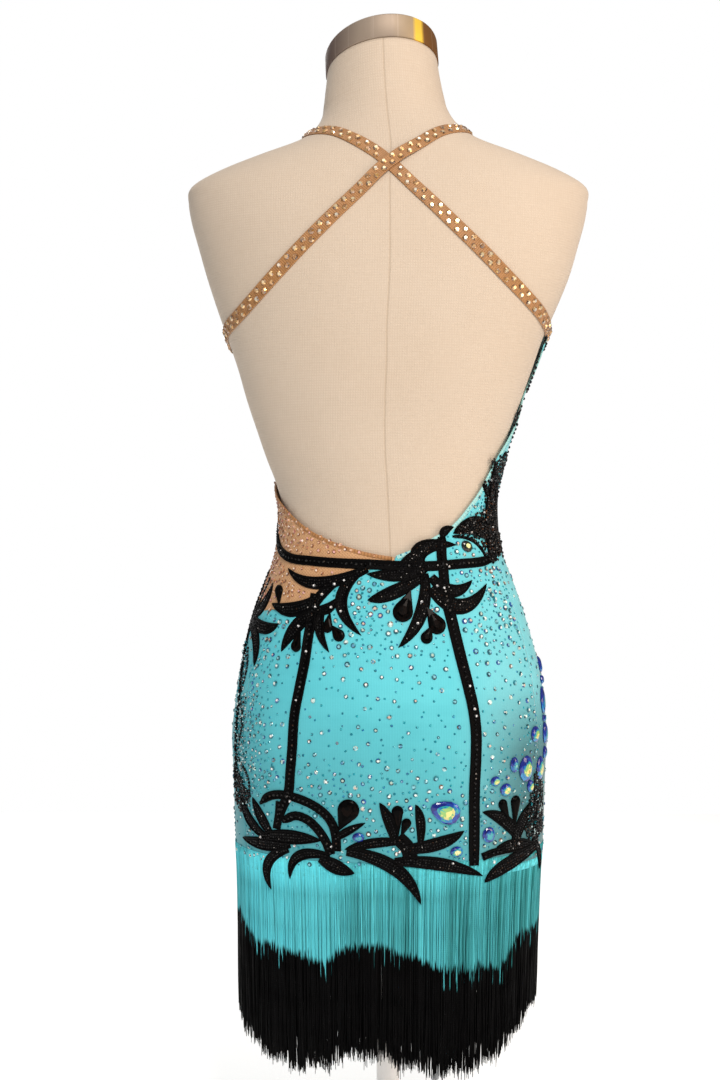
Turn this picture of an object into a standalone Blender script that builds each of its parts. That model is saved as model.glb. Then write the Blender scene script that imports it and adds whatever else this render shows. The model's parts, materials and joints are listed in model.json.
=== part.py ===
"""A salsa dance dress on a limbless dress form: closed solids, built from named sizes.

Units are millimetres in the tables and metres in Blender. The dress faces -Y and stands on z = 0.
A place on the garment is (q, z): q runs round the body, 0 at the centre back, 1 at the wearer's
left side line (+X), 2 at the centre front and -1 at the right side line; z is the height of the row.
"""
import math

import bpy
import numpy as np
from mathutils import Vector
from mathutils.bvhtree import BVHTree
from mathutils.geometry import delaunay_2d_cdt

MM = 0.001

# ------------------------------------------------------------------ sizes
CLOTH_GAP = 2.4        # the form's skin to the inside of the cloth
CLOTH_THICK = 1.5
BUST_EASE = 0.8        # the bodice stands off the form a little more
SEAM_GAP = 0.3
BEAD_GAP = 0.35        # the cloth's outside to the inside of what is sewn on it
BEAD_THICK = 1.8
STRAP_GAP = 0.35
STRAP_THICK = 1.5
STRAP_WIDTH = 15.0
HEM_Z = 340.0
FORM_BOTTOM_Z = 306.0
SIDE_SEAM = 0.75       # q of both side seams, behind the side line
OUTSIDE = CLOTH_GAP + CLOTH_THICK

# The body, a row for each height. back and front are measured from y = 0, side_y is where the widest
# line lies, lean tips a row about its side line, square is the exponent of the section, sway moves a row
# to the wearer's left.
BODY_COLUMNS = ("z", "half_width", "back", "front", "side_y", "lean", "square", "sway")
BODY_ROWS = [
    (300, 163.1, 118.6, 95.6, 8, 0.0, 2.15, -1.0),
    (340, 163.3, 119, 96, 8, 0.0, 2.15, -1.0),
    (380, 164.5, 124, 99, 8, 0.0, 2.15, -1.0),
    (435, 166.2, 129, 103, 8, 0.0, 2.15, -1.0),
    (468, 167.5, 130, 105, 8, 0.0, 2.15, -1.2),
    (501, 164.3, 127, 107, 7, 0.0, 2.15, -1.5),
    (534, 160.0, 121, 108, 5, 0.0, 2.18, -1.5),
    (567, 152.4, 113, 107, 3, 0.0, 2.2, -1.0),
    (600, 142.8, 103, 105, 1, 0.0, 2.2, -1.0),
    (633, 130.8, 94, 101, -1, 0.0, 2.2, -1.5),
    (666, 119.6, 87, 96, -3, 0.0, 2.2, -0.5),
    (699, 115.6, 82, 92, -4, 0.0, 2.2, 0.8),
    (716, 115.6, 81, 91, -4, 0.0, 2.2, 1.6),
    (740, 120.4, 82, 92, -4, 0.0, 2.22, 2.8),
    (765, 128.3, 84, 94, -3, 0.0, 2.25, 4.6),
    (798, 139.0, 88, 100, -2, 0.0, 2.3, 5.2),
    (831, 150.5, 94, 112, -1, 0.0, 2.35, 4.6),
    (864, 161.0, 99, 124, 0, 0.0, 2.4, 3.4),
    (897, 172.5, 103, 131, 0, 0.0, 2.4, 3.2),
    (930, 185.7, 106, 127, 0, 0.0, 2.4, 1.6),
    (963, 197.8, 107, 114, 0, 0.0, 2.4, 0.2),
    (996, 207.5, 105, 98, -2, 0.0, 2.38, 0.0),
    (1029, 216.5, 98, 84, -4, 0.0, 2.35, 0.0),
    (1045, 219.0, 93, 77, -5, 0.0, 2.3, 0.0),
    (1062, 217.5, 86, 70, -5, 0.0, 2.25, -0.6),
    (1078, 191.5, 79, 64, -5, 0.0, 2.2, -1.5),
    (1095, 149.5, 71, 60, -5, 0.01, 2.15, -1.5),
    (1111, 105.0, 61, 59, -6, 0.04, 2.1, -0.8),
    (1128, 81.0, 51, 61, -8, 0.1, 2.05, 0.0),
    (1144, 70.5, 44, 65, -11, 0.17, 2.0, 0.0),
    (1161, 66.8, 39, 69, -15, 0.24, 2.0, 0.0),
    (1178, 64.2, 36, 74, -19, 0.29, 2.0, 0.0),
    (1200, 61.5, 34, 78, -22, 0.33, 2.0, 0.0),
    (1220, 61.0, 33, 79, -23, 0.4, 2.0, 0.0),
]
NECK_TOP_Z = 1199.5
CAP_BOTTOM_Z, CAP_TOP_Z = 1200.0, 1221.0
ROLL = -0.10           # the neck cap tips down to the wearer's left, once the lean is full
NECK_SHIFT = 6.0       # and the neck stands that far to the wearer's left
BUST = {"across": 84.0, "z": 893.0, "wide": 62.0, "high": 62.0, "deep": 10.0}


def curve_through(xs, ys):
    """A smooth curve through the rows of one column."""
    xs, ys = np.array(xs, float), np.array(ys, float)
    h = np.diff(xs)
    d = np.diff(ys) / h
    m = np.concatenate([[d[0]], (d[:-1] * h[1:] + d[1:] * h[:-1]) / (h[:-1] + h[1:]), [d[-1]]])

    def value(x):
        x = np.asarray(x, float)
        i = np.clip(np.searchsorted(xs, x) - 1, 0, len(xs) - 2)
        t = (x - xs[i]) / h[i]
        return ((2 * t**3 - 3 * t**2 + 1) * ys[i] + (t**3 - 2 * t**2 + t) * h[i] * m[i]
                + (-2 * t**3 + 3 * t**2) * ys[i + 1] + (t**3 - t**2) * h[i] * m[i + 1])

    return value


_rows = np.array(BODY_ROWS, float)
BODY = {name: curve_through(_rows[:, 0], _rows[:, k]) for k, name in enumerate(BODY_COLUMNS)}


def section(angle, z):
    """Points of the body's skin in mm: angle 0 at the back, a quarter turn at the wearer's left."""
    hw, back, front = BODY["half_width"](z), BODY["back"](z), BODY["front"](z)
    side, lean, power = BODY["side_y"](z), BODY["lean"](z), 2.0 / BODY["square"](z)
    s, c = np.sin(angle), np.cos(angle)
    x = hw * np.sign(s) * np.abs(s) ** power
    deep = np.where(c >= 0, back - side, front + side)
    y = side + deep * np.sign(c) * np.abs(c) ** power
    mound = sum(np.exp(-((x - k * BUST["across"]) / BUST["wide"]) ** 2 - ((z - BUST["z"]) / BUST["high"]) ** 2)
                for k in (-1, 1))
    y = y - BUST["deep"] * mound * np.clip(-c, 0, 1) ** 0.7
    return x + NECK_SHIFT * lean / 0.33 + BODY["sway"](z), y, z + lean * (y - side) + ROLL * lean / 0.33 * x


# Angles that cut each quarter into equal lengths, for a ladder of heights.
LADDER = np.arange(300.0, 1221.0, 4.0)
STEPS = 32


def quarters():
    found, lengths = [], []
    near = np.linspace(0, 1, 161) ** 1.5 * math.pi / 4
    angles = np.unique(np.concatenate([near, math.pi / 2 - near]))
    for start in (0.0, math.pi / 2):
        table, sizes = [], []
        for z in LADDER:
            p = np.stack(section(angles + start, np.full(len(angles), z)), axis=-1)
            run = np.concatenate([[0], np.cumsum(np.linalg.norm(np.diff(p, axis=0), axis=1))])
            table.append(np.interp(np.linspace(0, run[-1], STEPS + 1), run, angles + start))
            sizes.append(run[-1])
        found.append(np.array(table))
        lengths.append(np.array(sizes))
    return found, lengths


QUARTER_ANGLES, QUARTER_LENGTHS = quarters()


def back_length(z):
    """Millimetres round the body from the centre back to the side line."""
    return np.interp(z, LADDER, QUARTER_LENGTHS[0])


def front_length(z):
    return np.interp(z, LADDER, QUARTER_LENGTHS[1])


def angle_of(q, z):
    q = (np.asarray(q, float) + 2.0) % 4.0 - 2.0
    side, q = np.where(q < 0, -1.0, 1.0), np.abs(q)
    row = np.clip((np.asarray(z, float) - LADDER[0]) / (LADDER[1] - LADDER[0]), 0, len(LADDER) - 1.001)
    r = row.astype(int)
    rf = row - r
    result = np.zeros(np.broadcast(q, row).shape)
    for k, table in enumerate(QUARTER_ANGLES):
        col = np.clip((q - k) * STEPS, 0, STEPS - 1e-6)
        c = col.astype(int)
        cf = col - c
        a = ((table[r, c] * (1 - cf) + table[r, c + 1] * cf) * (1 - rf)
             + (table[r + 1, c] * (1 - cf) + table[r + 1, c + 1] * cf) * rf)
        result = np.where((q <= 1) if k == 0 else (q > 1), a, result)
    return side * result


def skin(q, z):
    q, z = np.broadcast_arrays(np.asarray(q, float), np.asarray(z, float))
    return np.stack(section(angle_of(q, z), z), axis=-1)


def place(q, z, out):
    """Points in mm at (q, z), moved out from the form's skin."""
    q, z = np.broadcast_arrays(np.asarray(q, float), np.asarray(z, float))
    across = skin(q + 0.012, z) - skin(q - 0.012, z)
    up = skin(q, np.minimum(z + 2, 1220)) - skin(q, np.maximum(z - 2, 300))
    n = np.cross(across, up)
    n /= np.maximum(np.linalg.norm(n, axis=-1, keepdims=True), 1e-9)
    p = skin(q, z)
    outward = n[..., 0] * p[..., 0] + n[..., 1] * (p[..., 1] - BODY["side_y"](z))
    n = np.where(outward[..., None] < 0, -n, n)
    return p + n * np.asarray(out, float)[..., None]


def to_q(s, z):
    """q from s, the millimetres round the body from the centre back."""
    s, z = np.asarray(s, float), np.asarray(z, float)
    b, f = back_length(z), front_length(z)
    return np.sign(s) * np.where(np.abs(s) <= b, np.abs(s) / b, 1 + (np.abs(s) - b) / f)


# ------------------------------------------------------------------ lying on what is below
SAMPLES = [(1 / 3, 1 / 3, 1 / 3), (0.5, 0.5, 0), (0, 0.5, 0.5), (0.5, 0, 0.5), (0.6, 0.2, 0.2), (0.2, 0.6, 0.2),
           (0.2, 0.2, 0.6), (0.75, 0.25, 0), (0.25, 0.75, 0), (0, 0.75, 0.25), (0, 0.25, 0.75), (0.75, 0, 0.25),
           (0.25, 0, 0.75)]


def ground(names):
    """The named objects as one surface, in mm."""
    points, faces = [], []
    for name in names:
        mesh = bpy.data.objects[name].data
        faces += [[i + len(points) for i in f.vertices] for f in mesh.polygons]
        points += [v.co / MM for v in mesh.vertices]
    return BVHTree.FromPolygons(points, faces)


def over(tree, point, normal, reach=30.0):
    """How far a point stands above the surface, along a normal; a large number where nothing is below."""
    n = Vector(normal)
    hit = tree.ray_cast(Vector(point) + n * reach, -n, reach + 12.0)
    return hit[3] - reach if hit[0] is not None else 99.0


def settle(q, z, faces, gap, tree, bare):
    """The heights above the skin at which the facets of a piece clear what is below by the gap."""
    q, z = np.asarray(q, float), np.asarray(z, float)
    base = place(q, z, np.zeros(q.shape))
    normal = place(q, z, np.ones(q.shape)) - base
    out = np.array([-over(tree, p, n) for p, n in zip(base, normal)])
    out = np.where(out < -50, bare, out) + gap
    for _ in range(5):
        lift = np.zeros(len(out))
        p = base + normal * out[:, None]
        for f in faces:
            for share in SAMPLES:
                at = sum(p[i] * w for i, w in zip(f, share))
                n = sum(normal[i] * w for i, w in zip(f, share))
                short = gap - over(tree, at, n / np.linalg.norm(n))
                if short > 0:
                    for i in f:
                        lift[i] = max(lift[i], short)
        if lift.max() < 0.02:
            break
        out = out + lift
    return out


# ------------------------------------------------------------------ making solids
def colour(name, rgb, rough=0.6, metal=0.0):
    m = bpy.data.materials.get(name)
    if m is None:
        m = bpy.data.materials.new(name)
        m.use_nodes = True
        b = m.node_tree.nodes["Principled BSDF"]
        b.inputs["Base Color"].default_value = (*rgb, 1)
        b.inputs["Roughness"].default_value = rough
        b.inputs["Metallic"].default_value = metal
        m.diffuse_color = (*rgb, 1)
    return m


LOOKS = {
    "turquoise": ((0.13, 0.65, 0.72), 0.5, 0.0),
    "nude mesh": ((0.55, 0.30, 0.12), 0.6, 0.0),
    "nude elastic": ((0.48, 0.24, 0.07), 0.6, 0.0),
    "black beads": ((0.012, 0.012, 0.014), 0.3, 0.0),
    "blue stone": ((0.03, 0.06, 0.35), 0.2, 0.0),
    "pale stone": ((0.55, 0.75, 0.80), 0.15, 0.0),
    "fringe black": ((0.02, 0.05, 0.06), 0.7, 0.0),
    "linen": ((0.78, 0.66, 0.52), 0.9, 0.0),
    "brushed steel": ((0.45, 0.43, 0.41), 0.35, 1.0),
}


def halves(p, f):
    """A four-sided face cut along its shorter diagonal, so that what lies on it meets the same facets."""
    if len(f) != 4:
        return [tuple(f)]
    a, b, c, d = f
    if np.linalg.norm(p[a] - p[c]) <= np.linalg.norm(p[b] - p[d]):
        return [(a, b, c), (a, c, d)]
    return [(b, c, d), (b, d, a)]


def solid(name, points, faces, look):
    """A named object from points in mm, with its faces turned outwards."""
    p = np.asarray(points, float)
    volume = sum(np.dot(p[f[0]], np.cross(p[f[k]], p[f[k + 1]])) for f in faces for k in range(1, len(f) - 1))
    if volume < 0:
        faces = [tuple(f)[::-1] for f in faces]
    faces = [t for f in faces for t in halves(p, f)]
    mesh = bpy.data.meshes.new(name)
    mesh.from_pydata([Vector(p) * MM for p in np.asarray(points, float).tolist()], [], [list(f) for f in faces])
    mesh.validate()
    mesh.materials.append(colour(look, *LOOKS[look]))
    o = bpy.data.objects.new(name, mesh)
    bpy.context.scene.collection.objects.link(o)
    return o


def wall(name, low, high, rows, look, inner=CLOTH_GAP, thick=CLOTH_THICK, closer=1.0, bow=None):
    """A cloth panel: a column from each low place (q, z) to the high one, inside and outside."""
    low, high = np.array(low, float), np.array(high, float)
    v = (np.linspace(0, 1, rows + 1) ** closer)[None, :, None]
    grid = low[:, None] + (high - low)[:, None] * v
    q, z = grid[..., 0], grid[..., 1]
    if bow:
        q = bow(q, z)
    points = np.concatenate([place(q, z, np.full(q.shape, inner + t)).reshape(-1, 3) for t in (0, thick)])
    n, m = len(low), rows + 1

    def at(i, j, k):
        return k * n * m + i * m + j

    faces = []
    for i in range(n - 1):
        for j in range(rows):
            faces.append((at(i, j, 1), at(i + 1, j, 1), at(i + 1, j + 1, 1), at(i, j + 1, 1)))
            faces.append((at(i, j, 0), at(i, j + 1, 0), at(i + 1, j + 1, 0), at(i + 1, j, 0)))
        faces.append((at(i, 0, 0), at(i + 1, 0, 0), at(i + 1, 0, 1), at(i, 0, 1)))
        faces.append((at(i, rows, 0), at(i, rows, 1), at(i + 1, rows, 1), at(i + 1, rows, 0)))
    for j in range(rows):
        faces.append((at(0, j, 0), at(0, j, 1), at(0, j + 1, 1), at(0, j + 1, 0)))
        faces.append((at(n - 1, j, 0), at(n - 1, j + 1, 0), at(n - 1, j + 1, 1), at(n - 1, j, 1)))
    return solid(name, points, faces, look)


def straight_edge(rows):
    q, z = [r[0] for r in rows], [r[1] for r in rows]
    return lambda x: np.interp(x, q, z)


def smooth_edge(rows):
    return curve_through([r[0] for r in rows], [r[1] for r in rows])


def ribbon(name, path, width, look, tree, thick, step=12.0):
    """A strap of even width along (q, z) places, lying on what is below it."""
    path = np.array(path, float)
    u = np.arange(len(path), dtype=float)
    fq, fz = curve_through(u, path[:, 0]), curve_through(u, path[:, 1])
    fine = np.linspace(0, u[-1], 40 * len(u))
    p = skin(fq(fine), fz(fine))
    run = np.concatenate([[0], np.cumsum(np.linalg.norm(np.diff(p, axis=0), axis=1))])
    n = int(round(run[-1] / step)) + 1
    at = np.interp(np.linspace(0, run[-1], n), run, fine)
    q, z = fq(at), fz(at)
    middle = skin(q, z)
    along = np.gradient(middle, axis=0)
    along /= np.linalg.norm(along, axis=1, keepdims=True)
    side = np.cross(along, place(q, z, np.ones(n)) - middle)
    dq, dz = 0.01, 1.5
    jq = (skin(q + dq, z) - skin(q - dq, z)) / (2 * dq)
    jz = (skin(q, z + dz) - skin(q, z - dz)) / (2 * dz)
    edges = []
    for k in (-1, 1):
        want = side * k * width / 2
        a, b, c = (np.sum(m * n, axis=1) for m, n in ((jq, jq), (jq, jz), (jz, jz)))
        r, s = np.sum(jq * want, axis=1), np.sum(jz * want, axis=1)
        det = a * c - b * b
        edges.append((q + (r * c - s * b) / det, z + (a * s - b * r) / det))
    eq, ez = (np.stack([edges[0][k], edges[1][k]], 1).reshape(-1) for k in (0, 1))
    faces = [f for i in range(n - 1) for f in ((2 * i, 2 * i + 1, 2 * i + 3), (2 * i, 2 * i + 3, 2 * i + 2))]
    out = settle(eq, ez, faces, STRAP_GAP, tree, 0.0).reshape(-1, 2).max(axis=1)
    out = np.repeat(out, 2)
    low, high = place(eq, ez, out), place(eq, ez, out + thick)
    points = np.stack([low[0::2], low[1::2], high[1::2], high[0::2]], axis=1).reshape(-1, 3)
    faces = [(3, 2, 1, 0), tuple(4 * (n - 1) + k for k in range(4))]
    for i in range(n - 1):
        a = 4 * i
        faces += [(a, a + 1, a + 5), (a, a + 5, a + 4)]
        for k in range(1, 4):
            m = (k + 1) % 4
            faces.append((a + k, a + m, a + 4 + m, a + 4 + k))
    return solid(name, points, faces, look)


def cdt_solid(name, outlines, inside, look, tree, thick=BEAD_THICK):
    """One flat-cut piece from outlines that overlap, in (s, z), laid on the body and thickened."""
    verts, faces = [], []
    for line in outlines:
        area = sum(a[0] * b[1] - b[0] * a[1] for a, b in zip(line, line[1:] + line[:1]))
        line = line if area > 0 else line[::-1]
        faces.append(list(range(len(verts), len(verts) + len(line))))
        verts += [Vector(p) for p in line]
    verts += [Vector(p) for p in inside]
    out, _, tris, _, _, origin = delaunay_2d_cdt(verts, [], faces, 0, 1e-3, True)
    keep = [tuple(t) for t, o in zip(tris, origin) if o]
    flat = np.array([tuple(p) for p in out], float)
    a, b, c = (flat[[t[k] for t in keep]] for k in range(3))
    area = (b[:, 0] - a[:, 0]) * (c[:, 1] - a[:, 1]) - (c[:, 0] - a[:, 0]) * (b[:, 1] - a[:, 1])
    keep = [t if s > 0 else t[::-1] for t, s in zip(keep, area)]
    used = sorted({i for t in keep for i in t})
    number = {i: k for k, i in enumerate(used)}
    keep = [tuple(number[i] for i in t) for t in keep]
    flat = flat[used]
    s, z = flat[:, 0], flat[:, 1]
    q = to_q(s, z)
    inner = settle(q, z, keep, BEAD_GAP, tree, OUTSIDE)
    points = np.concatenate([place(q, z, inner + t) for t in (0, thick)])
    n = len(flat)
    half = {(t[k], t[(k + 1) % 3]) for t in keep for k in range(3)}
    rim = [e for e in half if (e[1], e[0]) not in half]
    starts = [e[0] for e in rim]
    twice = sorted({i for i in starts if starts.count(i) > 1})
    if twice:
        print(name, "touches itself at", flat[twice].round(1).tolist())
    faces = []
    for t in keep:
        faces.append(tuple(i + n for i in t))
        faces.append(t[::-1])
    faces += [(i, j, j + n, i + n) for i, j in rim]
    o = solid(name, points, faces, look)
    return o


def leaf(root, via, tip, width, heel=0.6, steps=6, full=0.45):
    """A leaf's outline: from its root, by way of via, to its tip."""
    (ax, ay), (vx, vy), (bx, by) = root, via, tip
    mx, my = 2 * vx - (ax + bx) / 2, 2 * vy - (ay + by) / 2
    left, right = [], []
    for k in range(steps + 1):
        t = k / steps
        x = (1 - t) ** 2 * ax + 2 * t * (1 - t) * mx + t * t * bx
        y = (1 - t) ** 2 * ay + 2 * t * (1 - t) * my + t * t * by
        dx = 2 * (1 - t) * (mx - ax) + 2 * t * (bx - mx)
        dy = 2 * (1 - t) * (my - ay) + 2 * t * (by - my)
        size = math.hypot(dx, dy) or 1.0
        if t < full:
            w = heel + (1 - heel) * math.sin(math.pi / 2 * t / full)
        else:
            w = math.cos(math.pi / 2 * (t - full) / (1 - full)) ** 0.7
        w *= width / 2
        if k == steps:
            left.append((x, y))
        else:
            left.append((x - dy / size * w, y + dx / size * w))
            right.append((x + dy / size * w, y - dx / size * w))
    return left + right[::-1]


def middle_line(root, via, tip, steps):
    """Places along a leaf's middle, so that a wide leaf follows the body."""
    places = []
    for k in range(1, steps):
        t = k / steps
        places.append(tuple((1 - t) ** 2 * a + t * (1 - t) * (4 * v - a - b) + t * t * b
                            for a, v, b in zip(root, via, tip)))
    return places


def drop(point, round_end, width, steps=8):
    """A teardrop's outline, from its point to the middle of its round end."""
    (ax, ay), (bx, by) = point, round_end
    length = math.hypot(bx - ax, by - ay)
    ux, uy = (bx - ax) / length, (by - ay) / length
    r = width / 2
    line = [(ax, ay)]
    for k in range(steps + 1):
        a = math.radians(-115 + 230 * k / steps)
        line.append((bx + r * (math.cos(a) * ux - math.sin(a) * uy), by + r * (math.cos(a) * uy + math.sin(a) * ux)))
    return line


def band_line(points, width, taper=(1.0, 1.0), step=11.0):
    """A band's outline from its middle line."""
    p = np.array(points, float)
    run = np.concatenate([[0], np.cumsum(np.hypot(*np.diff(p, axis=0).T))])
    n = max(2, int(round(run[-1] / step)) + 1)
    at = np.linspace(0, run[-1], n)
    fx, fy = curve_through(run, p[:, 0]), curve_through(run, p[:, 1])
    x, y = fx(at), fy(at)
    dx, dy = np.gradient(x), np.gradient(y)
    size = np.hypot(dx, dy)
    w = width / 2 * np.interp(at / run[-1], [0, 0.12, 0.88, 1], [taper[0], 1, 1, taper[1]])
    nx, ny = -dy / size * w, dx / size * w
    return [*zip(x + nx, y + ny)] + [*zip(x - nx, y - ny)][::-1]


# ------------------------------------------------------------------ the dress
# The scoop's edge at the back, from the wearer's right to the tip of the mesh panel.
SCOOP_RIGHT = [(-0.76, 766.0), (-0.745, 761.0), (-0.64, 730.0), (-0.53, 709.5), (-0.392, 689.5), (-0.282, 679.5),
               (-0.11, 664.5), (-0.036, 660.0)]
MESH_LOW = [(-0.02, 653.9), (0.17, 643.0), (0.388, 618.0), (0.62, 603.5), (0.965, 596.0), (1.20, 598.0),
            (1.55, 612.0)]
MESH_HIGH = [(-0.02, 658.4), (0.13, 662.8), (0.298, 671.0), (0.525, 687.0), (0.704, 705.0), (0.97, 730.0),
             (1.20, 750.0), (1.42, 778.0)]
WAIST_SEAM = [(1.55, 612.0), (1.75, 640.0), (2.0, 672.0), (2.25, 690.0), (2.5, 698.0), (2.75, 701.0), (3.25, 702.0)]
BODICE_COLUMNS = ("low_q", "low_z", "high_q", "high_z")
BODICE_ROWS = [
    (1.150, 866.0, 1.145, 893.0),
    (1.215, 836.0, 1.220, 914.0),
    (1.305, 802.0, 1.310, 938.0),
    (1.4217, 778.3, 1.430, 965.0),
    (1.4867, 695.3, 1.500, 977.0),
    (1.5517, 612.3, 1.590, 972.0),
    (1.750, 640.3, 1.780, 944.0),
    (2.000, 672.3, 2.000, 917.0),
    (2.250, 690.3, 2.220, 944.0),
    (2.500, 698.3, 2.430, 973.0),
    (2.750, 701.3, 2.600, 966.0),
    (3.000, 702.0, 2.930, 914.0),
    (3.2492, 702.3, 3.2492, 890.0),
]
# How far the bodice's edge behind the wearer's right arm bows forward, in q, by height.
EDGE_BOW = [(702.0, 0.0), (764.0, 0.0), (786.0, -0.09), (812.0, -0.22), (838.0, -0.34), (862.0, -0.26), (890.0, -0.17)]
PARTS = (2, 2, 2, 3, 3, 2, 3, 3, 2, 3, 3, 3)     # columns in each stretch of the bodice
SEAM_QS = (-0.02, 0.10, 0.22, 0.34, 0.46, 0.58, 0.67, 0.75, 0.87, 0.99, 1.11, 1.22, 1.33, 1.44, 1.55)
SEAM_Q = 0.0008


def bowed(q, z):
    """The bodice's places, its last stretch drawn forward by the bow of its edge."""
    return q + np.minimum(smooth_edge(EDGE_BOW)(z), 0) * np.clip((q - 2.75) / 0.4992, 0, 1)


def cloth_panels():
    low = straight_edge(MESH_LOW)
    scoop = smooth_edge(SCOOP_RIGHT)
    q = np.array([-SIDE_SEAM + SEAM_Q, *np.linspace(-0.69, -0.036, 8), *SEAM_QS[:7], SIDE_SEAM - SEAM_Q])
    top = np.where(q < -0.03, scoop(q), low(q) - SEAM_GAP)
    wall("skirt_back", np.stack([q, np.full(len(q), HEM_Z)], 1), np.stack([q, top], 1), 15, "turquoise", closer=0.75)

    rows = np.array(BODICE_ROWS, float)
    u = np.arange(len(rows), dtype=float)
    at = np.concatenate([i + np.arange(n) / n for i, n in enumerate(PARTS)] + [[u[-1]]])
    low_q, low_z = (np.interp(at, u, rows[:, k]) for k in (0, 1))
    high_q, high_z = (curve_through(u, rows[:, k])(at) for k in (2, 3))
    wall("bodice_front", np.stack([low_q, low_z], 1), np.stack([high_q, high_z], 1), 10, "turquoise",
         CLOTH_GAP + BUST_EASE, bow=bowed)

    q = np.array([SIDE_SEAM + SEAM_Q, *SEAM_QS[8:], *low_q[low_q > 1.56]])
    seam = straight_edge(MESH_LOW + WAIST_SEAM[1:])
    wall("skirt_front", np.stack([q, np.full(len(q), HEM_Z)], 1), np.stack([q, seam(q) - SEAM_GAP], 1), 11,
         "turquoise")

    ql = np.array(SEAM_QS)
    qh = -0.02 + 1.44 * (ql + 0.02) / 1.57
    wall("mesh_panel", np.stack([ql, low(ql)], 1), np.stack([qh, smooth_edge(MESH_HIGH)(qh)], 1), 6, "nude mesh")


# Straps as (q, z) places, from the side to the neck and down to the top of the bodice.
STRAP_OVER = [(1.27, 894.0), (1.14, 897.0), (1.0, 899.5), (0.87, 903.5), (0.739, 911.5), (0.61, 928.0),
              (0.466, 955.5), (0.294, 995.0), (0.129, 1037.0), (0.006, 1071.0), (-0.101, 1087.5), (-0.274, 1102.5),
              (-0.48, 1112.0), (-0.76, 1118.5), (-1.0, 1121.0), (-1.24, 1115.0), (-1.45, 1092.0), (-1.56, 1050.0), (-1.545, 1005.0), (-1.50, 962.0)]
STRAP_UNDER = [(-1.16, 905.0), (-1.02, 905.5), (-0.93, 907.0), (-0.867, 909.0), (-0.785, 914.0), (-0.639, 929.5),
               (-0.474, 955.5), (-0.289, 995.0), (-0.123, 1037.0), (0.006, 1071.0), (0.103, 1087.5), (0.252, 1101.0),
               (0.469, 1112.0), (0.76, 1118.5), (1.0, 1121.0), (1.24, 1115.0), (1.45, 1092.0), (1.56, 1050.0), (1.545, 1005.0), (1.50, 962.0)]


PANELS = ("skirt_back", "skirt_front", "bodice_front", "mesh_panel")


def straps():
    below = ("form_body", *PANELS)
    ribbon("strap_under", STRAP_UNDER, STRAP_WIDTH, "nude elastic", ground(below), STRAP_THICK)
    ribbon("strap_over", STRAP_OVER, STRAP_WIDTH, "nude elastic", ground((*below, "strap_under")), STRAP_THICK)


# Beadwork, in (s, z): s is the millimetres round the body from the centre back, towards the wearer's left.
LEAF_COLUMNS = ("root", "via", "tip", "width")
WAIST_LEAVES = [
    ((24, 646.5), (77, 631), (115, 646), 13), ((33, 642), (51, 611), (30, 578), 12.5), ((79, 614), (105, 603), (135, 608.5), 15),
    ((80, 600), (100, 585), (117, 560), 14), ((69, 604), (73.5, 584), (63, 561), 9.5), ((80, 604), (65, 605), (54, 617), 10.5),
    ((79, 604), (72, 619), (52, 632), 10.5),
    ((-33, 641), (-32, 666), (-70, 671), 17), ((-35, 645), (-6, 640), (25, 641), 13.5), ((-9, 642), (-21, 656), (-51, 678), 13),
    ((-32, 638), (0, 621), (24, 614), 14.5), ((-34, 641), (-30, 599), (-7, 566), 13.5), ((-41, 638), (-63, 623), (-86, 634), 13.5),
    ((-40, 626), (-73, 607), (-104, 630), 16), ((-55, 679), (-58, 686), (-68, 690), 9),
    ((-122, 722), (-126, 743), (-128, 763), 10), ((-121, 723), (-113, 732), (-108, 738), 7), ((-120, 678), (-120, 704), (-119, 728), 17),
    ((-130, 672), (-100, 691), (-67, 683), 22), ((-128, 664), (-141, 700), (-134, 742), 20), ((-120, 693), (-119, 670), (-118, 650), 16),
    ((-131, 662), (-157, 673), (-155, 682), 10),
]
WAIST_DROPS = [
    ((62, 602), (65, 586), 11.5), ((61, 588.5), (53, 578), 12.5), ((94, 586), (99, 566), 11.5), ((123, 606), (126, 622), 12),
    ((-20, 625), (-12, 602), 21), ((-35.5, 608), (-47, 588), 18), ((-41, 588), (-36, 576), 12.5),
]
WAIST_BANDS = [
    ([(172, 697), (150, 680), (136, 667), (118, 658.5), (82, 654), (51, 652), (22, 651), (-5, 649.5), (-41, 649),
      (-72, 651), (-106, 654), (-124, 659)], 10.5, (0.8, 0.8)),
    ([(79, 620), (81, 604), (83, 592), (84, 581.5)], 10.5, (1.0, 1.0)),
    ([(-54, 679), (-53, 660), (-54, 645), (-55, 630), (-57, 613), (-60, 600.5)], 11, (0.8, 1.0)),
    ([(-66, 680), (-80, 679), (-93, 674), (-103, 665), (-108, 657)], 3.6, (0.6, 1.0)),
]
BAND_LEFT = [(84.8, 579), (88, 557), (95, 525), (100.4, 497), (102.4, 463), (104.8, 436), (105.9, 422)]
BAND_RIGHT = [(-61.6, 596.5), (-64.5, 584), (-70, 560), (-78, 527), (-83.4, 504), (-86.3, 480), (-86.3, 458), (-85, 424),
              (-85, 380), (-85, 344)]
SIDE_CORD = [(166, 642), (179, 612), (184, 585), (186, 560), (188, 530), (189, 500), (190, 470), (193, 440),
             (195, 412)]
SIDE_LEAVES = [((182, 596), (155, 604), (139, 627), 13), ((182, 594), (146, 583), (122, 588), 13),
               ((184, 588), (159, 572), (157, 543), 14)]
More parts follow.
